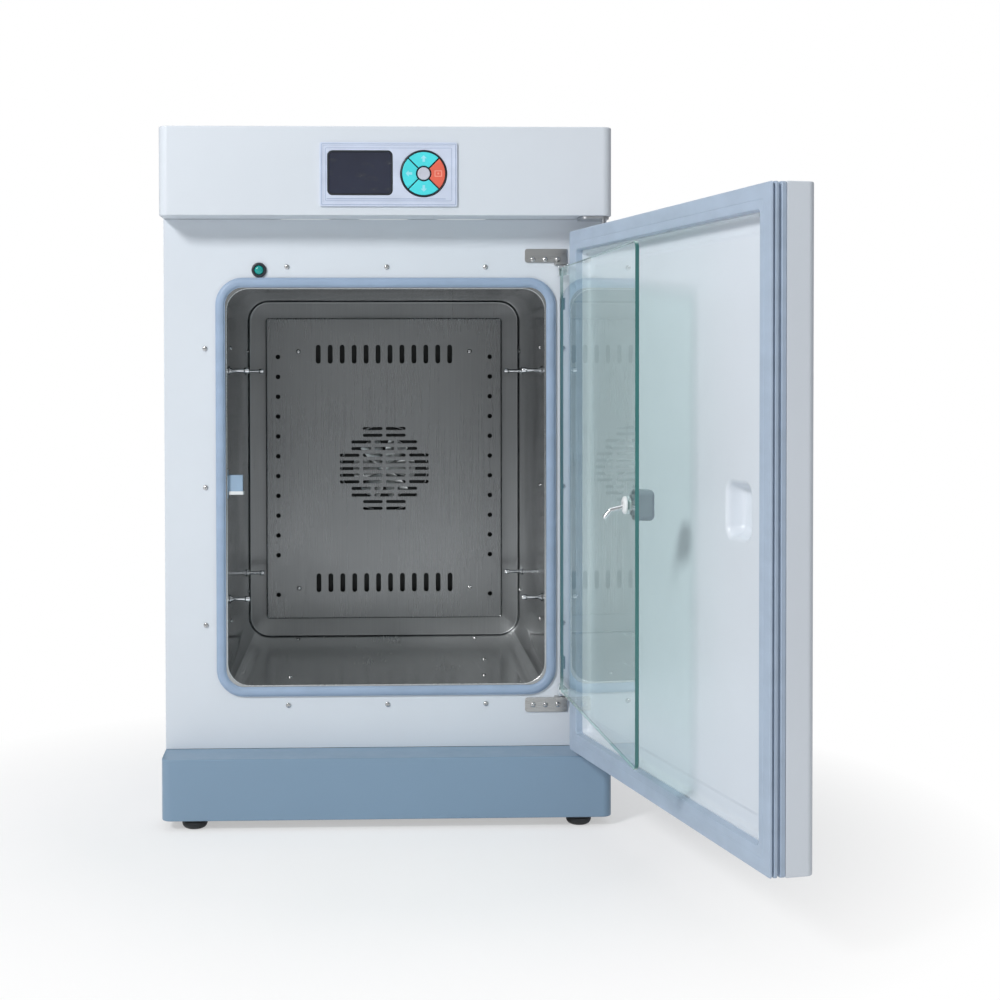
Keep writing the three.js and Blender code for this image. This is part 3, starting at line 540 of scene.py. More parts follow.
# ---- CAD nodes that stay, with eased edges and smooth shading ----
def keep(node, material, ease=0.5, segments=3):
    piece = nodes[node]
    mesh = piece.data
    if "custom_normal" in mesh.attributes:
        mesh.attributes.remove(mesh.attributes["custom_normal"])
    mesh.shade_smooth()
    mesh.materials.clear()
    mesh.materials.append(material)
    weld = piece.modifiers.new("weld", "WELD")
    weld.merge_threshold = 2e-5
    if ease:
        bevel = piece.modifiers.new("ease", "BEVEL")
        bevel.width = ease * MM
        bevel.segments = segments
        bevel.limit_method = "ANGLE"
        bevel.angle_limit = math.radians(40)
        bevel.harden_normals = True
    normals = piece.modifiers.new("normals", "WEIGHTED_NORMAL")
    normals.keep_sharp = True


KEPT = (
    (white_paint, 0.5, "left_side_panel", "right_side_panel", "top_cover", "front_panel", "rear_cover"),
    (zinc, 0.4, "base_pan", "left_base_rail", "right_base_rail", "upper_door_bracket",
     "lower_door_bracket"),
    (wool, 0, "insulation", "door_insulation"),
    (plate_steel, 0.35, "upper_glass_bracket", "lower_glass_bracket"),
    (fan_metal, 0, "fan_impeller"),
    (duct_steel, 0, "heater_element", "temperature_sensor"),
    (chrome, 0.4, "upper_glass_shoe", "lower_glass_shoe"),
    (black_plastic, 0.4, "fan_motor", "power_inlet", "power_rocker"),
    (board_green, 0.15, "control_board"),
    (strike_blue, 0.6, "latch_strike"),
    (knob_grey, 1.2, "door_handle"),
)
for material, ease, *names in KEPT:
    for node in names:
        keep(node, material, ease)


# ---- casing ----
def nose_outline(half, y_front, y_back, radius, steps=14):
    """Plan of a shell with two rounded front corners."""
    points = [(half, y_back), (-half, y_back)]
    for sx, start in ((-1, math.pi), (1, 1.5 * math.pi)):
        for i in range(steps + 1):
            a = start + math.pi / 2 * i / steps
            points.append((sx * (half - radius) + radius * math.cos(a),
                           y_front + radius + radius * math.sin(a)))
    return points


def hood():
    """The hollow hood, with the window behind the control panel."""
    lo, hi = extent("top_hood")
    wall, radius = 2.0, 12.0
    shell = plate("hood_shell", [nose_outline(hi.x, lo.y, hi.y, radius)], lo.z, hi.z, 1.6, "Z", 4)
    room = plate("room", [nose_outline(hi.x - wall, lo.y + wall, hi.y + 9, radius - wall)],
                 lo.z + wall, hi.z - wall, 0.2, "Z")
    shell = cut(shell, room)
    b0, b1 = extent("control_board")
    window = plate("window", [rounded((b0.x + b1.x) / 2, (b0.z + b1.z) / 2, 77, 33, 3)],
                   lo.y - 5, lo.y + wall + 5, 0.1)
    dress(cut(shell, window), "cabinet", white_paint, "top_hood")


def plinth():
    """The plinth's shell; its top slopes down by a few millimetres towards the front."""
    lo, hi = extent("base_plinth")
    wall, radius, drop = 2.0, 12.0, 3.0
    shell = plate("plinth_shell", [nose_outline(hi.x, lo.y, hi.y, radius)], lo.z, hi.z, 1.4, "Z", 4)
    for v in shell.data.vertices:
        if v.co.z > (lo.z + hi.z) / 2 * MM:
            v.co.z -= drop * MM * (hi.y * MM - v.co.y) / ((hi.y - lo.y) * MM)
    room = plate("room", [nose_outline(hi.x - wall, lo.y + wall, hi.y + 9, radius - wall)],
                 lo.z - 9, hi.z - drop - wall, 0.2, "Z")
    dress(cut(shell, room), "cabinet", blue_paint, "base_plinth")


def feet():
    profile = [(0, -12), (8.5, -12), (10.6, -11.7), (12.8, -10.6), (14.6, -8.4), (15.4, -6), (15.5, -3),
               (14.9, -2.4), (14.9, -1.6), (15.5, -1), (15.5, 6), (15, 7.5), (14, 8), (5, 8), (5, 16),
               (0, 16)]
    for name in ("front_left_foot", "front_right_foot", "rear_left_foot", "rear_right_foot"):
        lo, hi = extent(name)
        place = ((lo.x + hi.x) / 2, (lo.y + hi.y) / 2, 0)
        dress(turned_piece(name + "_rubber", profile, place, UP), "cabinet", foot_rubber, name)


# ---- chamber ----
LINER_LO, LINER_HI = extent("chamber_liner")
LINER_WALL = 1.2
FLANGE = 9
HALF_WIDTH = 200.0
CHAMBER = (-HALF_WIDTH, LINER_LO.z + FLANGE, HALF_WIDTH, LINER_HI.z - FLANGE)
CHAMBER_BACK = LINER_HI.y - LINER_WALL
CORNER = 30.0


def liner():
    """The chamber's sheet: a rolled rim in front, deep walls and a tight fold onto the back."""
    rim, fold, fold_steps = 3.0, 3.0, 6
    profile = [(FLANGE, -0.4), (FLANGE, -1.3), (FLANGE - 0.4, -1.5), (-rim + 0.7, -1.5),
               (-rim + 0.2, -1.3), (-rim, -0.8), (-rim + 0.2, -0.2), (-rim + 0.8, 0.2), (-0.8, 0.5),
               (0, 1.2), (0, 60), (0, 200), (0, CHAMBER_BACK - 40)]
    profile += [(-fold + fold * math.cos(a), CHAMBER_BACK - fold + fold * math.sin(a))
                for a in (math.pi / 2 * i / fold_steps for i in range(fold_steps + 1))]
    profile += [(-28, CHAMBER_BACK), (-60, CHAMBER_BACK), (-120, CHAMBER_BACK)]
    skin = frame_loft("chamber_shell", CHAMBER, CORNER, profile, loop=False)
    shell = pressed(skin, lambda y: y > (CHAMBER_BACK - 1) * MM, -1, 0.8, 50)
    wall, lip, plenum, floor, back = range(5)
    for material in (wall_steel, rim_painted_highlight_steel, plenum_painted_shade_steel, floor_painted_light_steel, back_steel):
        shell.data.materials.append(material)
    duct_lo, duct_hi = extent("back_duct_panel")
    for face in shell.data.polygons:
        x, y, z = face.center / MM
        face.material_index = wall
        # The rolled rim's faces get the lighter rim steel, a painted highlight.
        if -1.45 < y < 0.9:
            face.material_index = lip
        # Up-facing floor faces get the lighter floor steel, painted light.
        elif y < CHAMBER_BACK - 2 and face.normal.z > 0.7 and z > CHAMBER[1] - 0.5:
            face.material_index = floor
        # Back-wall faces behind the duct panel get the near-black plenum steel, painted shade; the rest of
        # the back wall keeps its own steel.
        elif y > CHAMBER_BACK - 0.5:
            covered = abs(x) < duct_hi.x and duct_lo.z < z < duct_hi.z
            face.material_index = plenum if covered else back
    dress(shell, "cabinet", wall_steel, "chamber_liner")


def gasket():
    lo, hi = extent("chamber_gasket")
    width = 12.0
    inner = (lo.x + width, lo.z + width, hi.x - width, hi.z - width)
    base, crown = hi.y, lo.y
    profile = [(0, base), (0.1, base - 0.9), (0.9, base - 1.1)]
    bulge = [(width / 2 - (width / 2 - 1.2) * math.cos(a), base - 1.1 + (crown - base + 1.1) * math.sin(a))
             for a in (math.pi * i / 14 for i in range(1, 14))]
    profile += bulge + [(width - 0.9, base - 1.1), (width - 0.1, base - 0.9), (width, base)]
    dress(frame_loft("gasket_bulb", inner, 22, profile, steps=16), "cabinet", seal_grey,
          "chamber_gasket")


def slot_outline(x, z, half_w, half_h):
    return rounded(x, z, half_w, half_h, min(half_w, half_h), 5)


def duct_holes():
    """Air slots, side holes and the fan's grille."""
    lo, hi = extent("back_duct_panel")
    middle = (lo.z + hi.z) / 2
    slot_pitch, slot_rows, hole_pitch, bar_pitch, row_pitch = 17.6, 168.5, 29.2, 34, 9.8
    holes = []
    for i in range(12):
        for z in (middle + slot_rows, middle - slot_rows):
            holes.append(slot_outline((i - 5.5) * slot_pitch, z, 3.5, 13.8))
    for i in range(13):
        if i != 11:
            holes += [circle(x, middle + 164.5 - i * hole_pitch, 3.4, 20) for x in (-156, 156)]
    for row, count in enumerate((2, 2, 3, 3, 4, 4, 4, 4, 4, 3, 3, 2, 2)):
        for k in range(count):
            holes.append(slot_outline((k - (count - 1) / 2) * bar_pitch, middle + (6 - row) * row_pitch,
                                      14.5, 2.25))
    return holes


def duct_panel():
    lo, hi = extent("back_duct_panel")
    wall, bend = 1.2, 2.5
    edge = rounded(0, (lo.z + hi.z) / 2, hi.x - bend, (hi.z - lo.z) / 2 - bend, 2)
    face = plate("face", [edge] + duct_holes(), lo.y, lo.y + wall, 0.08)
    outer = [(-bend + bend * math.sin(a), lo.y + bend - bend * math.cos(a))
             for a in (math.pi / 2 * i / 6 for i in range(7))]
    inner = [(-bend + (bend - wall) * math.sin(a), lo.y + bend - (bend - wall) * math.cos(a))
             for a in (math.pi / 2 * i / 6 for i in range(7))]
    profile = outer + [(0, hi.y), (-wall, hi.y)] + inner[::-1]
    flange = frame_loft("flange", (lo.x, lo.z, hi.x, hi.z), 4.5, profile, steps=6)
    dress(join("duct_panel_sheet", [face, flange]), "cabinet", duct_steel, "back_duct_panel")


def studs():
    profile = [(0, 0), (5.2, 0), (5.6, 0.4), (5.6, 1.2), (5.2, 1.6), (3.6, 1.6), (3.6, 3.4), (3.2, 3.8),
               (2.3, 3.8), (2.3, 18.6), (3, 19), (3.5, 19.6), (3.7, 20.8), (3.7, 24.4), (3.2, 25.2),
               (1.6, 25.5), (0, 25.5)]
    for name in [n for n in nodes if n.endswith("_stud")]:
        lo, hi = extent(name)
        side = 1 if hi.x > 0 else -1
        place = (hi.x if side > 0 else lo.x, (lo.y + hi.y) / 2, (lo.z + hi.z) / 2)
        made = turned_piece(name + "_turned", profile, place, Vector((-side, 0, 0)), 28)
        dress(made, "cabinet", chrome, name)


def strike_lip():
    """The strike's light lower lip, a thin cap on the moulding."""
    lo, hi = extent("latch_strike")
    shape = rounded((lo.x + 4 + hi.x) / 2, 7.8, (hi.x - lo.x - 4) / 2 + 0.35, 5.2, 1.4, 5)
    dress(plate("strike_lip_cap", [shape], lo.z + 5.6, lo.z + 9.9, 0.6, "Z"), "cabinet", nylon)


# ---- screws ----
def screw_mesh():
    """A pan-head screw of 1 mm head radius with a cross recess, its head's base at the origin."""
    profile = [(0, -0.3), (0.55, -0.3), (0.55, 0), (0.97, 0), (1, 0.06), (0.98, 0.2), (0.88, 0.38),
               (0.66, 0.52), (0.35, 0.6), (0, 0.62)]
    head = turned_piece("screw_head", profile, (0, 0, 0), UP, 24)
    for angle in (0, math.pi / 2):
        blade = plate("blade", [rounded(0, 0, 0.52, 0.12, 0.05, 2)], 0.22, 1.0, 0.02, "Z", 1)
        blade.data.transform(Matrix.Rotation(angle, 4, "Z"))
        head = cut(head, blade)
    return head


SCREW = screw_mesh()


def screws(name, places, normal, radius):
    """Identical screws of the cabinet as one piece: heads on a face with the given normal."""
    face = UP.rotation_difference(Vector(normal)).to_matrix().to_4x4()
    bm = bmesh.new()
    for place in places:
        copy = SCREW.data.copy()
        copy.transform(Matrix.Translation(Vector(place) * MM) @ face
                       @ Matrix.Rotation(rng.uniform(0, math.pi), 4, "Z") @ Matrix.Scale(radius, 4))
        bm.from_mesh(copy)
        bpy.data.meshes.remove(copy)
    mesh = bpy.data.meshes.new(name)
    bm.to_mesh(mesh)
    bm.free()
    dress(soften(linked(name, mesh)), "cabinet", screw_steel)


def all_screws():
    front = [(x, 0, z) for x in (-122.5, 1, 123.5) for z in (676, 131.5)]
    front += [(x, 0, z) for x in (-224, 220) for z in (575, 403, 232)]
    screws("front_panel_screws", front, (0, -1, 0), 3.3)
    duct, _ = extent("back_duct_panel")
    screws("duct_panel_screws", [(x, duct.y, z) for x in (-126, 126) for z in (577, 228)],
           (0, -1, 0), 3.4)
    for name in ("upper_glass_bracket", "lower_glass_bracket"):
        lo, hi = extent(name)
        z = hi.z - 13.2 if name.startswith("upper") else lo.z + 8.8
        screws(name + "_screws", [(x, -1.8, z) for x in (182.3, 197.8, 213.4)], (0, -1, 0), 3.3)
    for side, word in ((-1, "left"), (1, "right")):
        wall = side * CHAMBER[2]
        spots = [(wall, y, z) for y in (90, 385) for z in (224, 577)] + [(wall, 88, 399)]
        screws(word + "_wall_screws", spots, (-side, 0, 0), 2.8)
    floor = [(-127, 378, CHAMBER[1]), (132.8, 378, CHAMBER[1]), (-124, 70, CHAMBER[1]),
             (134, 194, CHAMBER[1]), (126, 73, CHAMBER[1])]
    screws("chamber_floor_screws", floor, (0, 0, 1), 2.8)
    _, back = extent("rear_cover")
    edges = [(x, back.y, z) for x in (-264, 264) for z in (30, 230, 430, 630, 815)]
    edges += [(x, back.y, 830) for x in (-130, 0, 130)]
    screws("rear_cover_screws", edges, (0, 1, 0), 3.6)
    inlet, outlet = extent("power_inlet")
    middle = (inlet.z + outlet.z) / 2
    screws("inlet_screws", [(x, outlet.y, middle) for x in (inlet.x + 2.6, outlet.x - 2.6)],
           (0, 1, 0), 1.9)


# ---- controls ----
BEZEL_LO, BEZEL_HI = extent("control_bezel")
SCREEN_LO, SCREEN_HI = extent("display_module")
RING_LO, RING_HI = extent("keypad_ring")
KEYPAD = ((RING_LO.x + RING_HI.x) / 2, (RING_LO.z + RING_HI.z) / 2)
BEZEL = ((BEZEL_LO.x + BEZEL_HI.x) / 2, (BEZEL_LO.z + BEZEL_HI.z) / 2,
         (BEZEL_HI.x - BEZEL_LO.x) / 2, (BEZEL_HI.z - BEZEL_LO.z) / 2)


def bezel():
    cx, cz, half_x, half_z = BEZEL
    display = rounded((SCREEN_LO.x + SCREEN_HI.x) / 2, (SCREEN_LO.z + SCREEN_HI.z) / 2,
                      (SCREEN_HI.x - SCREEN_LO.x) / 2 + 0.3, (SCREEN_HI.z - SCREEN_LO.z) / 2 + 0.3, 6.3)
    pad = circle(*KEYPAD, 28.6, 72)
    front = BEZEL_LO.y
    base = plate("base", [rounded(cx, cz, half_x, half_z, 2), display, pad], front + 0.5,
                 BEZEL_HI.y, 0.4)
    border = plate("border", [rounded(cx, cz, half_x, half_z, 2),
                              rounded(cx, cz, half_x - 4, half_z - 4, 1.5)], front, front + 0.9, 0.35)
    dress(join("control_bezel_film", [base, border]), "cabinet", bezel_plastic, "control_bezel")
    lines = []
    drawn = ((1.7, 0.7, front - 0.12, front + 0.1), (6.6, 0.5, front + 0.36, front + 0.6))
    for inset, width, y0, y1 in drawn:
        outer = rounded(cx, cz, half_x - inset, half_z - inset, 1.5)
        inner = rounded(cx, cz, half_x - inset - width, half_z - inset - width, 1)
        lines.append(plate("line", [outer, inner], y0, y1, 0.05, segments=1))
    strip = rounded(cx - 3, cz - half_z + 9.2, 72, 0.4, 0.3, 3)
    lines.append(plate("line", [strip], front + 0.36, front + 0.6, 0.05, segments=1))
    dress(join("control_bezel_lines", lines), "cabinet", bezel_line)


def display():
    cx, cz = (SCREEN_LO.x + SCREEN_HI.x) / 2, (SCREEN_LO.z + SCREEN_HI.z) / 2
    half_x, half_z = (SCREEN_HI.x - SCREEN_LO.x) / 2, (SCREEN_HI.z - SCREEN_LO.z) / 2
    surround = [rounded(cx, cz, half_x, half_z, 6), rounded(cx, cz, half_x - 1.8, half_z - 1.8, 4.4)]
    dress(plate("display_surround", surround, SCREEN_LO.y - 0.2, SCREEN_HI.y, 0.3), "cabinet",
          black_plastic)
    window = rounded(cx, cz, half_x - 1.9, half_z - 1.9, 4.3)
    dress(plate("display_window", [window], SCREEN_LO.y + 0.4, SCREEN_HI.y, 0.2), "cabinet", screen,
          "display_module")


def keypad():
    profile = [(0, -46.9), (26.6, -46.9), (26.7, -50), (27, -50.3), (27.3, -50.4), (27.8, -50.2),
               (28, -49.8), (28, -42), (0, -42)]
    ring = turned_piece("keypad_dish", profile, (KEYPAD[0], 0, KEYPAD[1]), INWARD, 72)
    dress(ring, "cabinet", black_plastic, "keypad_ring")
    inner, outer, lane = 9.4, 26.0, 0.75
    keys = (("key_right", 0, coral), ("key_up", 1, cyan), ("key_left", 2, cyan), ("key_down", 3, cyan))
    for name, quarter, material in keys:
        middle = quarter * math.pi / 2
        outline = []
        for radius, ends in ((outer, (-1, 1)), (inner, (1, -1))):
            reach = math.pi / 4 - math.asin(lane / radius)
            for i in range(19):
                a = middle + reach * (ends[0] + (ends[1] - ends[0]) * i / 18)
                outline.append((KEYPAD[0] + radius * math.cos(a), KEYPAD[1] + radius * math.sin(a)))
        lo, hi = extent(name)
        made = plate(name + "_cap", [outline], lo.y, hi.y, 0.7, segments=3)
        dress(made, name[4:] + "_key", material, name)
        icon(name, middle, lo.y)
    lo, hi = extent("key_centre")
    profile = [(0, hi.y), (7.6, hi.y), (7.6, lo.y + 0.8), (7.3, lo.y + 0.25), (6.6, lo.y),
               (4, lo.y + 0.25), (0, lo.y + 0.4)]
    cap = turned_piece("key_centre_cap", profile, (KEYPAD[0], 0, KEYPAD[1]), INWARD, 48)
    dress(cap, "centre_key", silver, "key_centre")


def icon(name, middle, front):
    """A small plain mark on a key: arrows on the cyan keys, a framed dot on the coral one."""
    reach, y0, y1 = 17.6, front - 0.15, front + 0.2
    centre = Vector((KEYPAD[0] + reach * math.cos(middle), KEYPAD[1] + reach * math.sin(middle)))
    if name == "key_right":
        frame_mark = [rounded(*centre, 4.6, 3.9, 0.8, 4), rounded(*centre, 3.4, 2.7, 0.5, 4)]
        marks = [plate("mark", frame_mark, y0, y1, 0.06, segments=1),
                 plate("mark", [circle(*centre, 1.2, 24)], y0, y1, 0.06, segments=1)]
    else:
        along = Vector((math.cos(middle), math.sin(middle)))
        across = Vector((-along.y, along.x))
        arrow = [centre + along * a + across * b for a, b in
                 ((4.4, 0), (0.6, -3.9), (0.6, -1.5), (-3.6, -1.5), (-3.6, 1.5), (0.6, 1.5), (0.6, 3.9))]
        marks = [plate("mark", [arrow], y0, y1, 0.06, segments=1)]
    material = coral_icon if name == "key_right" else cyan_icon
    dress(join(name + "_icon", marks), name[4:] + "_key", material)


def door_switch():
    lo, hi = extent("door_switch_bezel")
    place = ((lo.x + hi.x) / 2, 0, (lo.z + hi.z) / 2)
    profile = [(6.05, 26), (6.05, -3), (6.3, -3.2), (7.9, -3.2), (8.7, -2.9), (9.2, -2.2), (9.2, -0.3),
               (6.35, -0.3), (6.35, 26)]
    collar = turned_loop("door_switch_collar", profile, place)
    dress(collar, "cabinet", black_plastic, "door_switch_bezel")
    profile = [(0, -5), (1.6, -4.95), (3.2, -4.7), (4.4, -4.2), (5.2, -3.4), (5.55, -2.4), (5.6, -1.6),
               (5.6, 20), (0, 20)]
    button = turned_piece("door_switch_button", profile, place, INWARD)
    dress(button, "door_switch", teal, "door_switch_plunger")


def turned_loop(name, profile, place, steps=48):
    """A lathe ring about Y whose profile closes on itself."""
    rings = [[(place[0] + r * math.cos(a), place[1] + y, place[2] + r * math.sin(a))
              for a in (2 * math.pi * i / steps for i in range(steps))] for r, y in profile]
    return loft(name, rings, loop=True)


# ---- outer door, drawn closed ----
PAN_LO, PAN_HI = extent("door_outer_pan", OUTER)
FRAME_LO, FRAME_HI = extent("door_seal_frame", OUTER)
INNER_LO, INNER_HI = extent("door_inner_panel", OUTER)


def door_pan():
    sheet, radius = 1.5, 8.0
    shell = plate("door_pan_shell", [nose_outline(PAN_HI.x, PAN_LO.y, PAN_HI.y, radius)],
                  PAN_LO.z, PAN_HI.z, 1.6, "Z", 4)
    room = plate("room", [nose_outline(PAN_HI.x - sheet, PAN_LO.y + sheet, PAN_HI.y + 5, radius - sheet)],
                 PAN_LO.z + sheet, PAN_HI.z - sheet, 0.2, "Z")
    shell = cut(shell, room)
    hinge = joint("outer_door_hinge")["pos_m"]
    for z0, z1 in ((PAN_LO.z - 5, PAN_LO.z + 9), (PAN_HI.z - 9, PAN_HI.z + 5)):
        bore = plate("bore", [circle(hinge[0] / MM, hinge[1] / MM, 2.9, 24)], z0, z1, 0.1, "Z")
        shell = cut(shell, bore)
    dress(shell, "outer_door", white_paint, "door_outer_pan", turned=OUTER)


def door_frame():
    """The sealing frame: a soft section with two grooves round its outside and a rounded face."""
    band = 24.0
    box = (FRAME_LO.x + band, FRAME_LO.z + band, FRAME_HI.x - band, FRAME_HI.z - band)
    front, face = FRAME_LO.y, FRAME_HI.y
    profile = [(0, front), (0, face - 1.6), (0.5, face - 0.5), (1.8, face)]
    profile += [(8.5, face), (9.3, face - 0.5), (10.1, face)]
    profile += [(band - 1.8, face), (band - 0.5, face - 0.5), (band, face - 1.8)]
    for top, bottom in ((-4.6, -6.8), (-10, -13)):
        profile += [(band, top + 0.5), (band - 0.5, top), (band - 3, top - 0.2), (band - 3, bottom + 0.2),
                    (band - 0.5, bottom), (band, bottom - 0.5)]
    profile += [(band, front + 0.5), (band - 0.5, front)]
    made = frame_loft("door_frame_section", box, 4, profile, spread=-0.05, steps=6)
    dress(made, "outer_door", frame_grey, "door_seal_frame", turned=OUTER)


def door_inner():
    """The pressed inner panel, with soft edges, a raised field and the pocket for the latch knob."""
    box = (INNER_LO.x, INNER_LO.z, INNER_HI.x, INNER_HI.z)
    lip, floor = INNER_HI.y - 7, FRAME_LO.y - 2
    knob_lo, knob_hi = extent("latch_knob", GLASS)
    pocket = ((knob_lo.x + knob_hi.x) / 2, (knob_lo.z + knob_hi.z) / 2)
    centre = ((box[0] + box[2]) / 2, (box[1] + box[3]) / 2)
    half = ((box[2] - box[0]) / 2, (box[3] - box[1]) / 2)
    rings = []
    wall = [(0, lip), (-1.4, lip), (-1.5, lip - 0.6), (-1.5, floor + 5), (-2, floor + 2.6),
            (-3.2, floor + 0.9), (-5, floor + 0.2), (-7, floor)]
    step = [(-16, floor), (-17.5, floor + 0.25), (-19.5, floor + 1.3), (-21, floor + 1.6),
            (-30, floor + 1.6)]
    for offset, y in wall + step:
        rings.append([(x, y, z) for x, z in
                      rounded(*centre, half[0] + offset, half[1] + offset, 4 - 0.25 * offset, 8)])
    face = floor + 1.6
    hollow = [(reach, face - deep) for reach, deep in (
        (31, 0), (29.8, 0.15), (28.6, 0.5), (27.4, 1.3), (26.3, 2.8), (25.3, 5), (24.4, 7.6),
        (23.2, 10.6), (21.8, 13.4), (20, 15.6), (18, 16.8), (16, 17.2))]
    for reach, y in hollow:
        rings.append([(x, y, z) for x, z in rounded(*pocket, reach, reach, 10 + (reach - 25) * 0.9, 8)])
    skin = loft("door_inner_pressing", rings, ends=False)
    deepest = min(v.co.y for v in skin.data.vertices)
    panel = pressed(skin, lambda y: y < deepest + 1e-5, 1, 1.0, 40)
    dress(panel, "outer_door", white_paint, "door_inner_panel", turned=OUTER)


# ---- glass door, drawn closed ----
PANE_LO, PANE_HI = extent("glass_pane", GLASS)
KNOB_LO, KNOB_HI = extent("latch_knob", GLASS)
LATCH = ((KNOB_LO.x + KNOB_HI.x) / 2, (KNOB_LO.z + KNOB_HI.z) / 2)


def pane():
    centre = ((PANE_LO.x + PANE_HI.x) / 2, (PANE_LO.z + PANE_HI.z) / 2)
    outline = rounded(*centre, (PANE_HI.x - PANE_LO.x) / 2, (PANE_HI.z - PANE_LO.z) / 2, 9, 14)
    made = plate("glass_pane_sheet", [outline, circle(*LATCH, 5.3)], PANE_LO.y, PANE_HI.y, 0.5)
    made.data.materials.append(glass_face)
    made.data.materials.append(glass_edge)
    for face in made.data.polygons:
        face.material_index = 0 if abs(face.normal.y) > 0.99 else 1
    dress(made, "glass_door", glass_face, "glass_pane", turned=GLASS)


def clips():
    """Bright spring clips folded over the pane's hinge edge."""
    edge, wall, reach, fold = PANE_HI.x, 0.8, 10, 3.2
    y0, y1 = PANE_LO.y - 0.15, PANE_HI.y + 0.1
    outline = [(edge - reach, y0), (edge + 0.2, y0), (edge + 0.2, y1), (edge - fold, y1),
               (edge - fold, y1 + 0.3), (edge, y1 + 0.3), (edge + 0.2 + wall, y1),
               (edge + 0.2 + wall, y0), (edge, y0 - wall), (edge - reach, y0 - wall)]
    for name, z0, z1 in (("upper_glass_clip", 622, 637), ("lower_glass_clip", 177.5, 193.5)):
        dress(plate(name, [outline], z0, z1, 0.2, "Z"), "glass_door", chrome, turned=GLASS)


def label():
    """A plain oval sticker near the pane's lower free corner."""
    centre = (PANE_LO.x + 12, PANE_LO.z + 12.5)
    oval = [(centre[0] + 7 * math.cos(a), centre[1] + 10.5 * math.sin(a))
            for a in (2 * math.pi * i / 40 for i in range(40))]
    made = plate("oval_label", [oval], PANE_LO.y - 0.25, PANE_LO.y - 0.05, 0.05, segments=1)
    dress(made, "glass_door", label_tan, turned=GLASS)


def latch():
    centre, half = LATCH, ((KNOB_HI.x - KNOB_LO.x) / 2, (KNOB_HI.z - KNOB_LO.z) / 2)
    back = KNOB_HI.y
    profile = [(-1.2, back - 2.7), (-0.3, back - 3), (0, back - 4)]
    crown = 4.5
    profile += [(-crown + crown * math.cos(a), KNOB_LO.y + crown - crown * math.sin(a))
                for a in (math.pi / 2 * i / 7 for i in range(8))]
    rings = [[(x, y, z) for x, z in rounded(*centre, half[0] + o, half[1] + o, 6 + o, 10)]
             for o, y in profile]
    grip = loft("grip", rings)
    boss = turned_piece("boss", [(0, back - 3.4), (11, back - 3.4), (11, back - 0.6), (10.7, back),
                                 (0, back)], (centre[0], 0, centre[1]), INWARD)
    dress(join("latch_knob_grip", [grip, boss]), "latch", knob_grey, "latch_knob", turned=GLASS)
    lo, hi = extent("latch_rod", GLASS)
    radius = 2.5
    start = Vector((centre[0], back - 1, centre[1]))
    corner = Vector((centre[0], hi.y - radius, centre[1]))
    tip = Vector((centre[0], hi.y - radius, lo.z + radius))
    path = [start] + arc_points(corner, start, tip, 6) + [tip]
    dress(tube("latch_rod_bar", path, radius), "latch", chrome, "latch_rod", turned=GLASS)
    lo, hi = extent("latch_collar", GLASS)
    inner = PANE_HI.y + 0.3
    profile = [(2.6, lo.y), (5, lo.y), (5, inner), (8.7, inner), (9, inner + 0.4), (9, inner + 1.8),
               (8.6, inner + 2.6), (7.2, hi.y - 0.4), (6.4, hi.y), (2.9, hi.y), (2.6, hi.y - 0.3)]
    ring = turned_loop("latch_collar_ring", profile, (centre[0], 0, centre[1]))
    dress(ring, "glass_door", nylon, "latch_collar", turned=GLASS)


# ---- stage: floor, light and camera ----
def stage():
    reach, ground = 9000, CAD_BOX[0].z / MM - 0.2
    floor = make("floor", [(x * reach, y * reach, ground) for x, y in
                           ((-1, -1), (1, -1), (1, 1), (-1, 1))], [(0, 1, 2, 3)])
    g = Graph("pale_floor", "cabinet_paint")
    g.set(Base_Color=g.mix(g.span(g.noise(4, 2), 0, 1), (0.9, 0.91, 0.92, 1), (0.94, 0.94, 0.95, 1)),
          Roughness=0.8)
    glow = g.node("ShaderNodeEmission", {"Color": (1, 1, 1, 1), "Strength": 1.0})
    away = g.node("ShaderNodeVectorMath", {0: g.place}, operation="LENGTH").outputs["Value"]
    path = g.node("ShaderNodeLightPath").outputs["Is Camera Ray"]
    far = g.span(away, 0.45, 1, 0.35, 0.75)
    seen = g.node("ShaderNodeMath", {0: far, 1: path}, operation="MULTIPLY").outputs[0]
    mixed = g.node("ShaderNodeMixShader", {0: seen, 1: g.surface.outputs[0], 2: glow.outputs[0]})
    g.feed(g.output.inputs["Surface"], mixed.outputs[0])
    floor.data.materials.append(g.material)


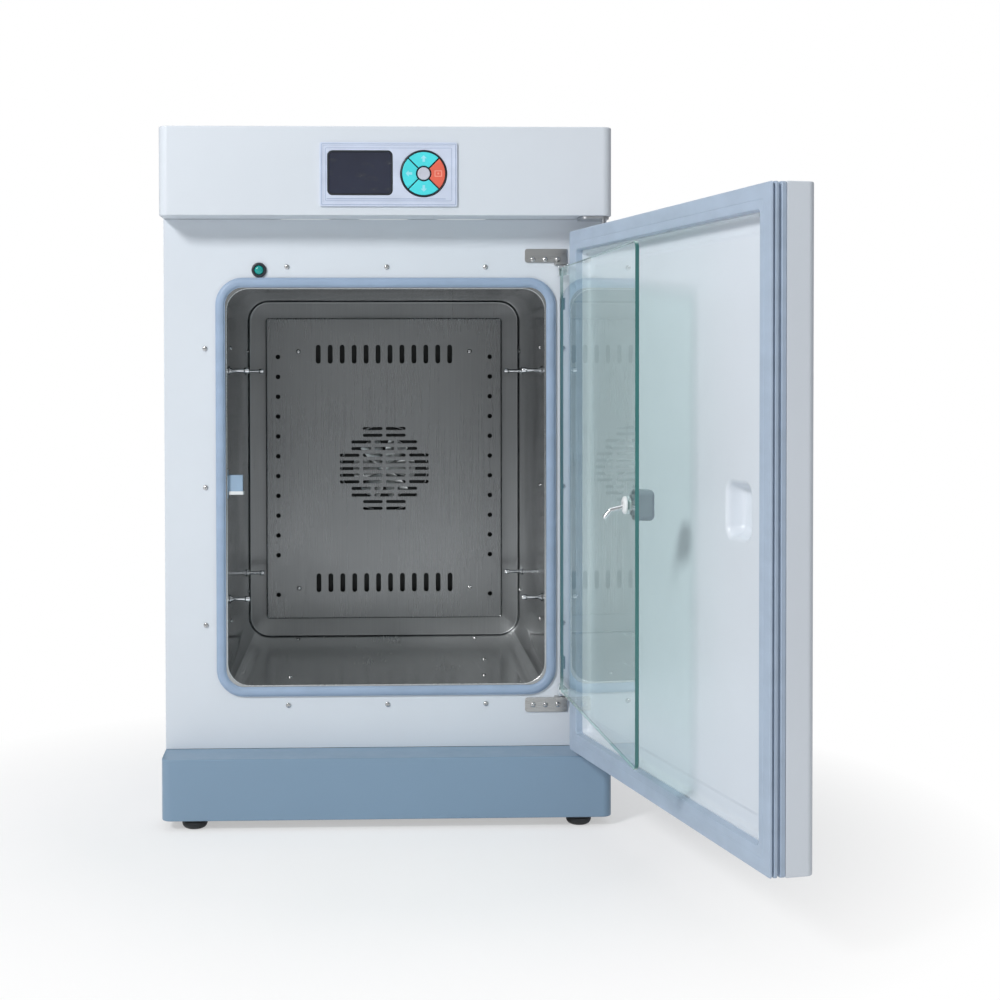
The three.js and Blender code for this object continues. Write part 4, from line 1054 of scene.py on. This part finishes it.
def world():
    """White to the eye; to the object, a soft studio that is darker in front than above."""
    made = bpy.data.worlds.new("studio")
    made.use_nodes = True
    tree = made.node_tree
    background = tree.nodes["Background"]
    path = tree.nodes.new("ShaderNodeLightPath")
    place = tree.nodes.new("ShaderNodeTexCoord")
    axes = tree.nodes.new("ShaderNodeSeparateXYZ")
    tree.links.new(place.outputs["Generated"], axes.inputs[0])
    height = tree.nodes.new("ShaderNodeMapRange")
    for key, value in (("From Min", -0.1), ("From Max", 0.9), ("To Min", 0.19), ("To Max", 0.47)):
        height.inputs[key].default_value = value
    tree.links.new(axes.outputs["Z"], height.inputs["Value"])
    pick = tree.nodes.new("ShaderNodeMix")
    pick.data_type = "FLOAT"
    pick.inputs[3].default_value = 1.0
    tree.links.new(path.outputs["Is Camera Ray"], pick.inputs[0])
    tree.links.new(height.outputs[0], pick.inputs[2])
    tree.links.new(pick.outputs[0], background.inputs["Strength"])
    lit = tree.nodes.new("ShaderNodeMix")
    lit.data_type = "RGBA"
    lit.inputs[6].default_value = (0.95, 0.975, 1.0, 1)
    lit.inputs[7].default_value = (1, 1, 1, 1)
    tree.links.new(path.outputs["Is Camera Ray"], lit.inputs[0])
    tree.links.new(lit.outputs[2], background.inputs["Color"])
    bpy.context.scene.world = made


def softbox(name, place, target, size, power):
    light = bpy.data.lights.new(name, "AREA")
    light.shape = "RECTANGLE"
    light.size, light.size_y = size
    light.energy = power
    lamp = linked(name, light)
    lamp.location = place
    lamp.rotation_euler = (Vector(target) - Vector(place)).to_track_quat("-Z", "Y").to_euler()


def lights():
    softbox("key", (-1.8, -2.3, 2.15), (0, -0.1, 0.4), (0.6, 0.6), 67)
    softbox("card", (0.1, -3.1, 0.95), (0.1, 0, 0.75), (2.6, 0.8), 1.6)
    softbox("top", (0, 0.2, 2.6), (0, 0, 0.5), (2.0, 2.0), 11)


def camera():
    """Level-shift camera a little over two metres in front, at the height of the chamber."""
    place = Vector((-17.18, -2063.44, 540.63))
    yaw, pitch, roll = (math.radians(a) for a in (1.9436, -1.1219, -0.1068))
    forward = Vector((math.sin(yaw) * math.cos(pitch), math.cos(yaw) * math.cos(pitch), math.sin(pitch)))
    level = Vector((math.cos(yaw), -math.sin(yaw), 0))
    upright = level.cross(forward)
    right = level * math.cos(roll) + upright * math.sin(roll)
    above = upright * math.cos(roll) - level * math.sin(roll)
    lens = bpy.data.cameras.new("camera")
    lens.lens, lens.sensor_width = 59.79, 36
    lens.shift_x, lens.shift_y = 0.07115, -0.09145
    lens.clip_end = 100
    made = linked("camera", lens)
    axes = Matrix((right, above, -forward)).transposed().to_4x4()
    made.matrix_world = Matrix.Translation(place * MM) @ axes
    bpy.context.scene.camera = made


hood()
plinth()
feet()
liner()
gasket()
duct_panel()
studs()
strike_lip()
bezel()
display()
keypad()
door_switch()
door_pan()
door_frame()
door_inner()
pane()
clips()
label()
latch()
all_screws()
bpy.data.objects.remove(SCREW)
stage()
world()
lights()
camera()
bpy.context.scene.view_settings.view_transform = "Standard"
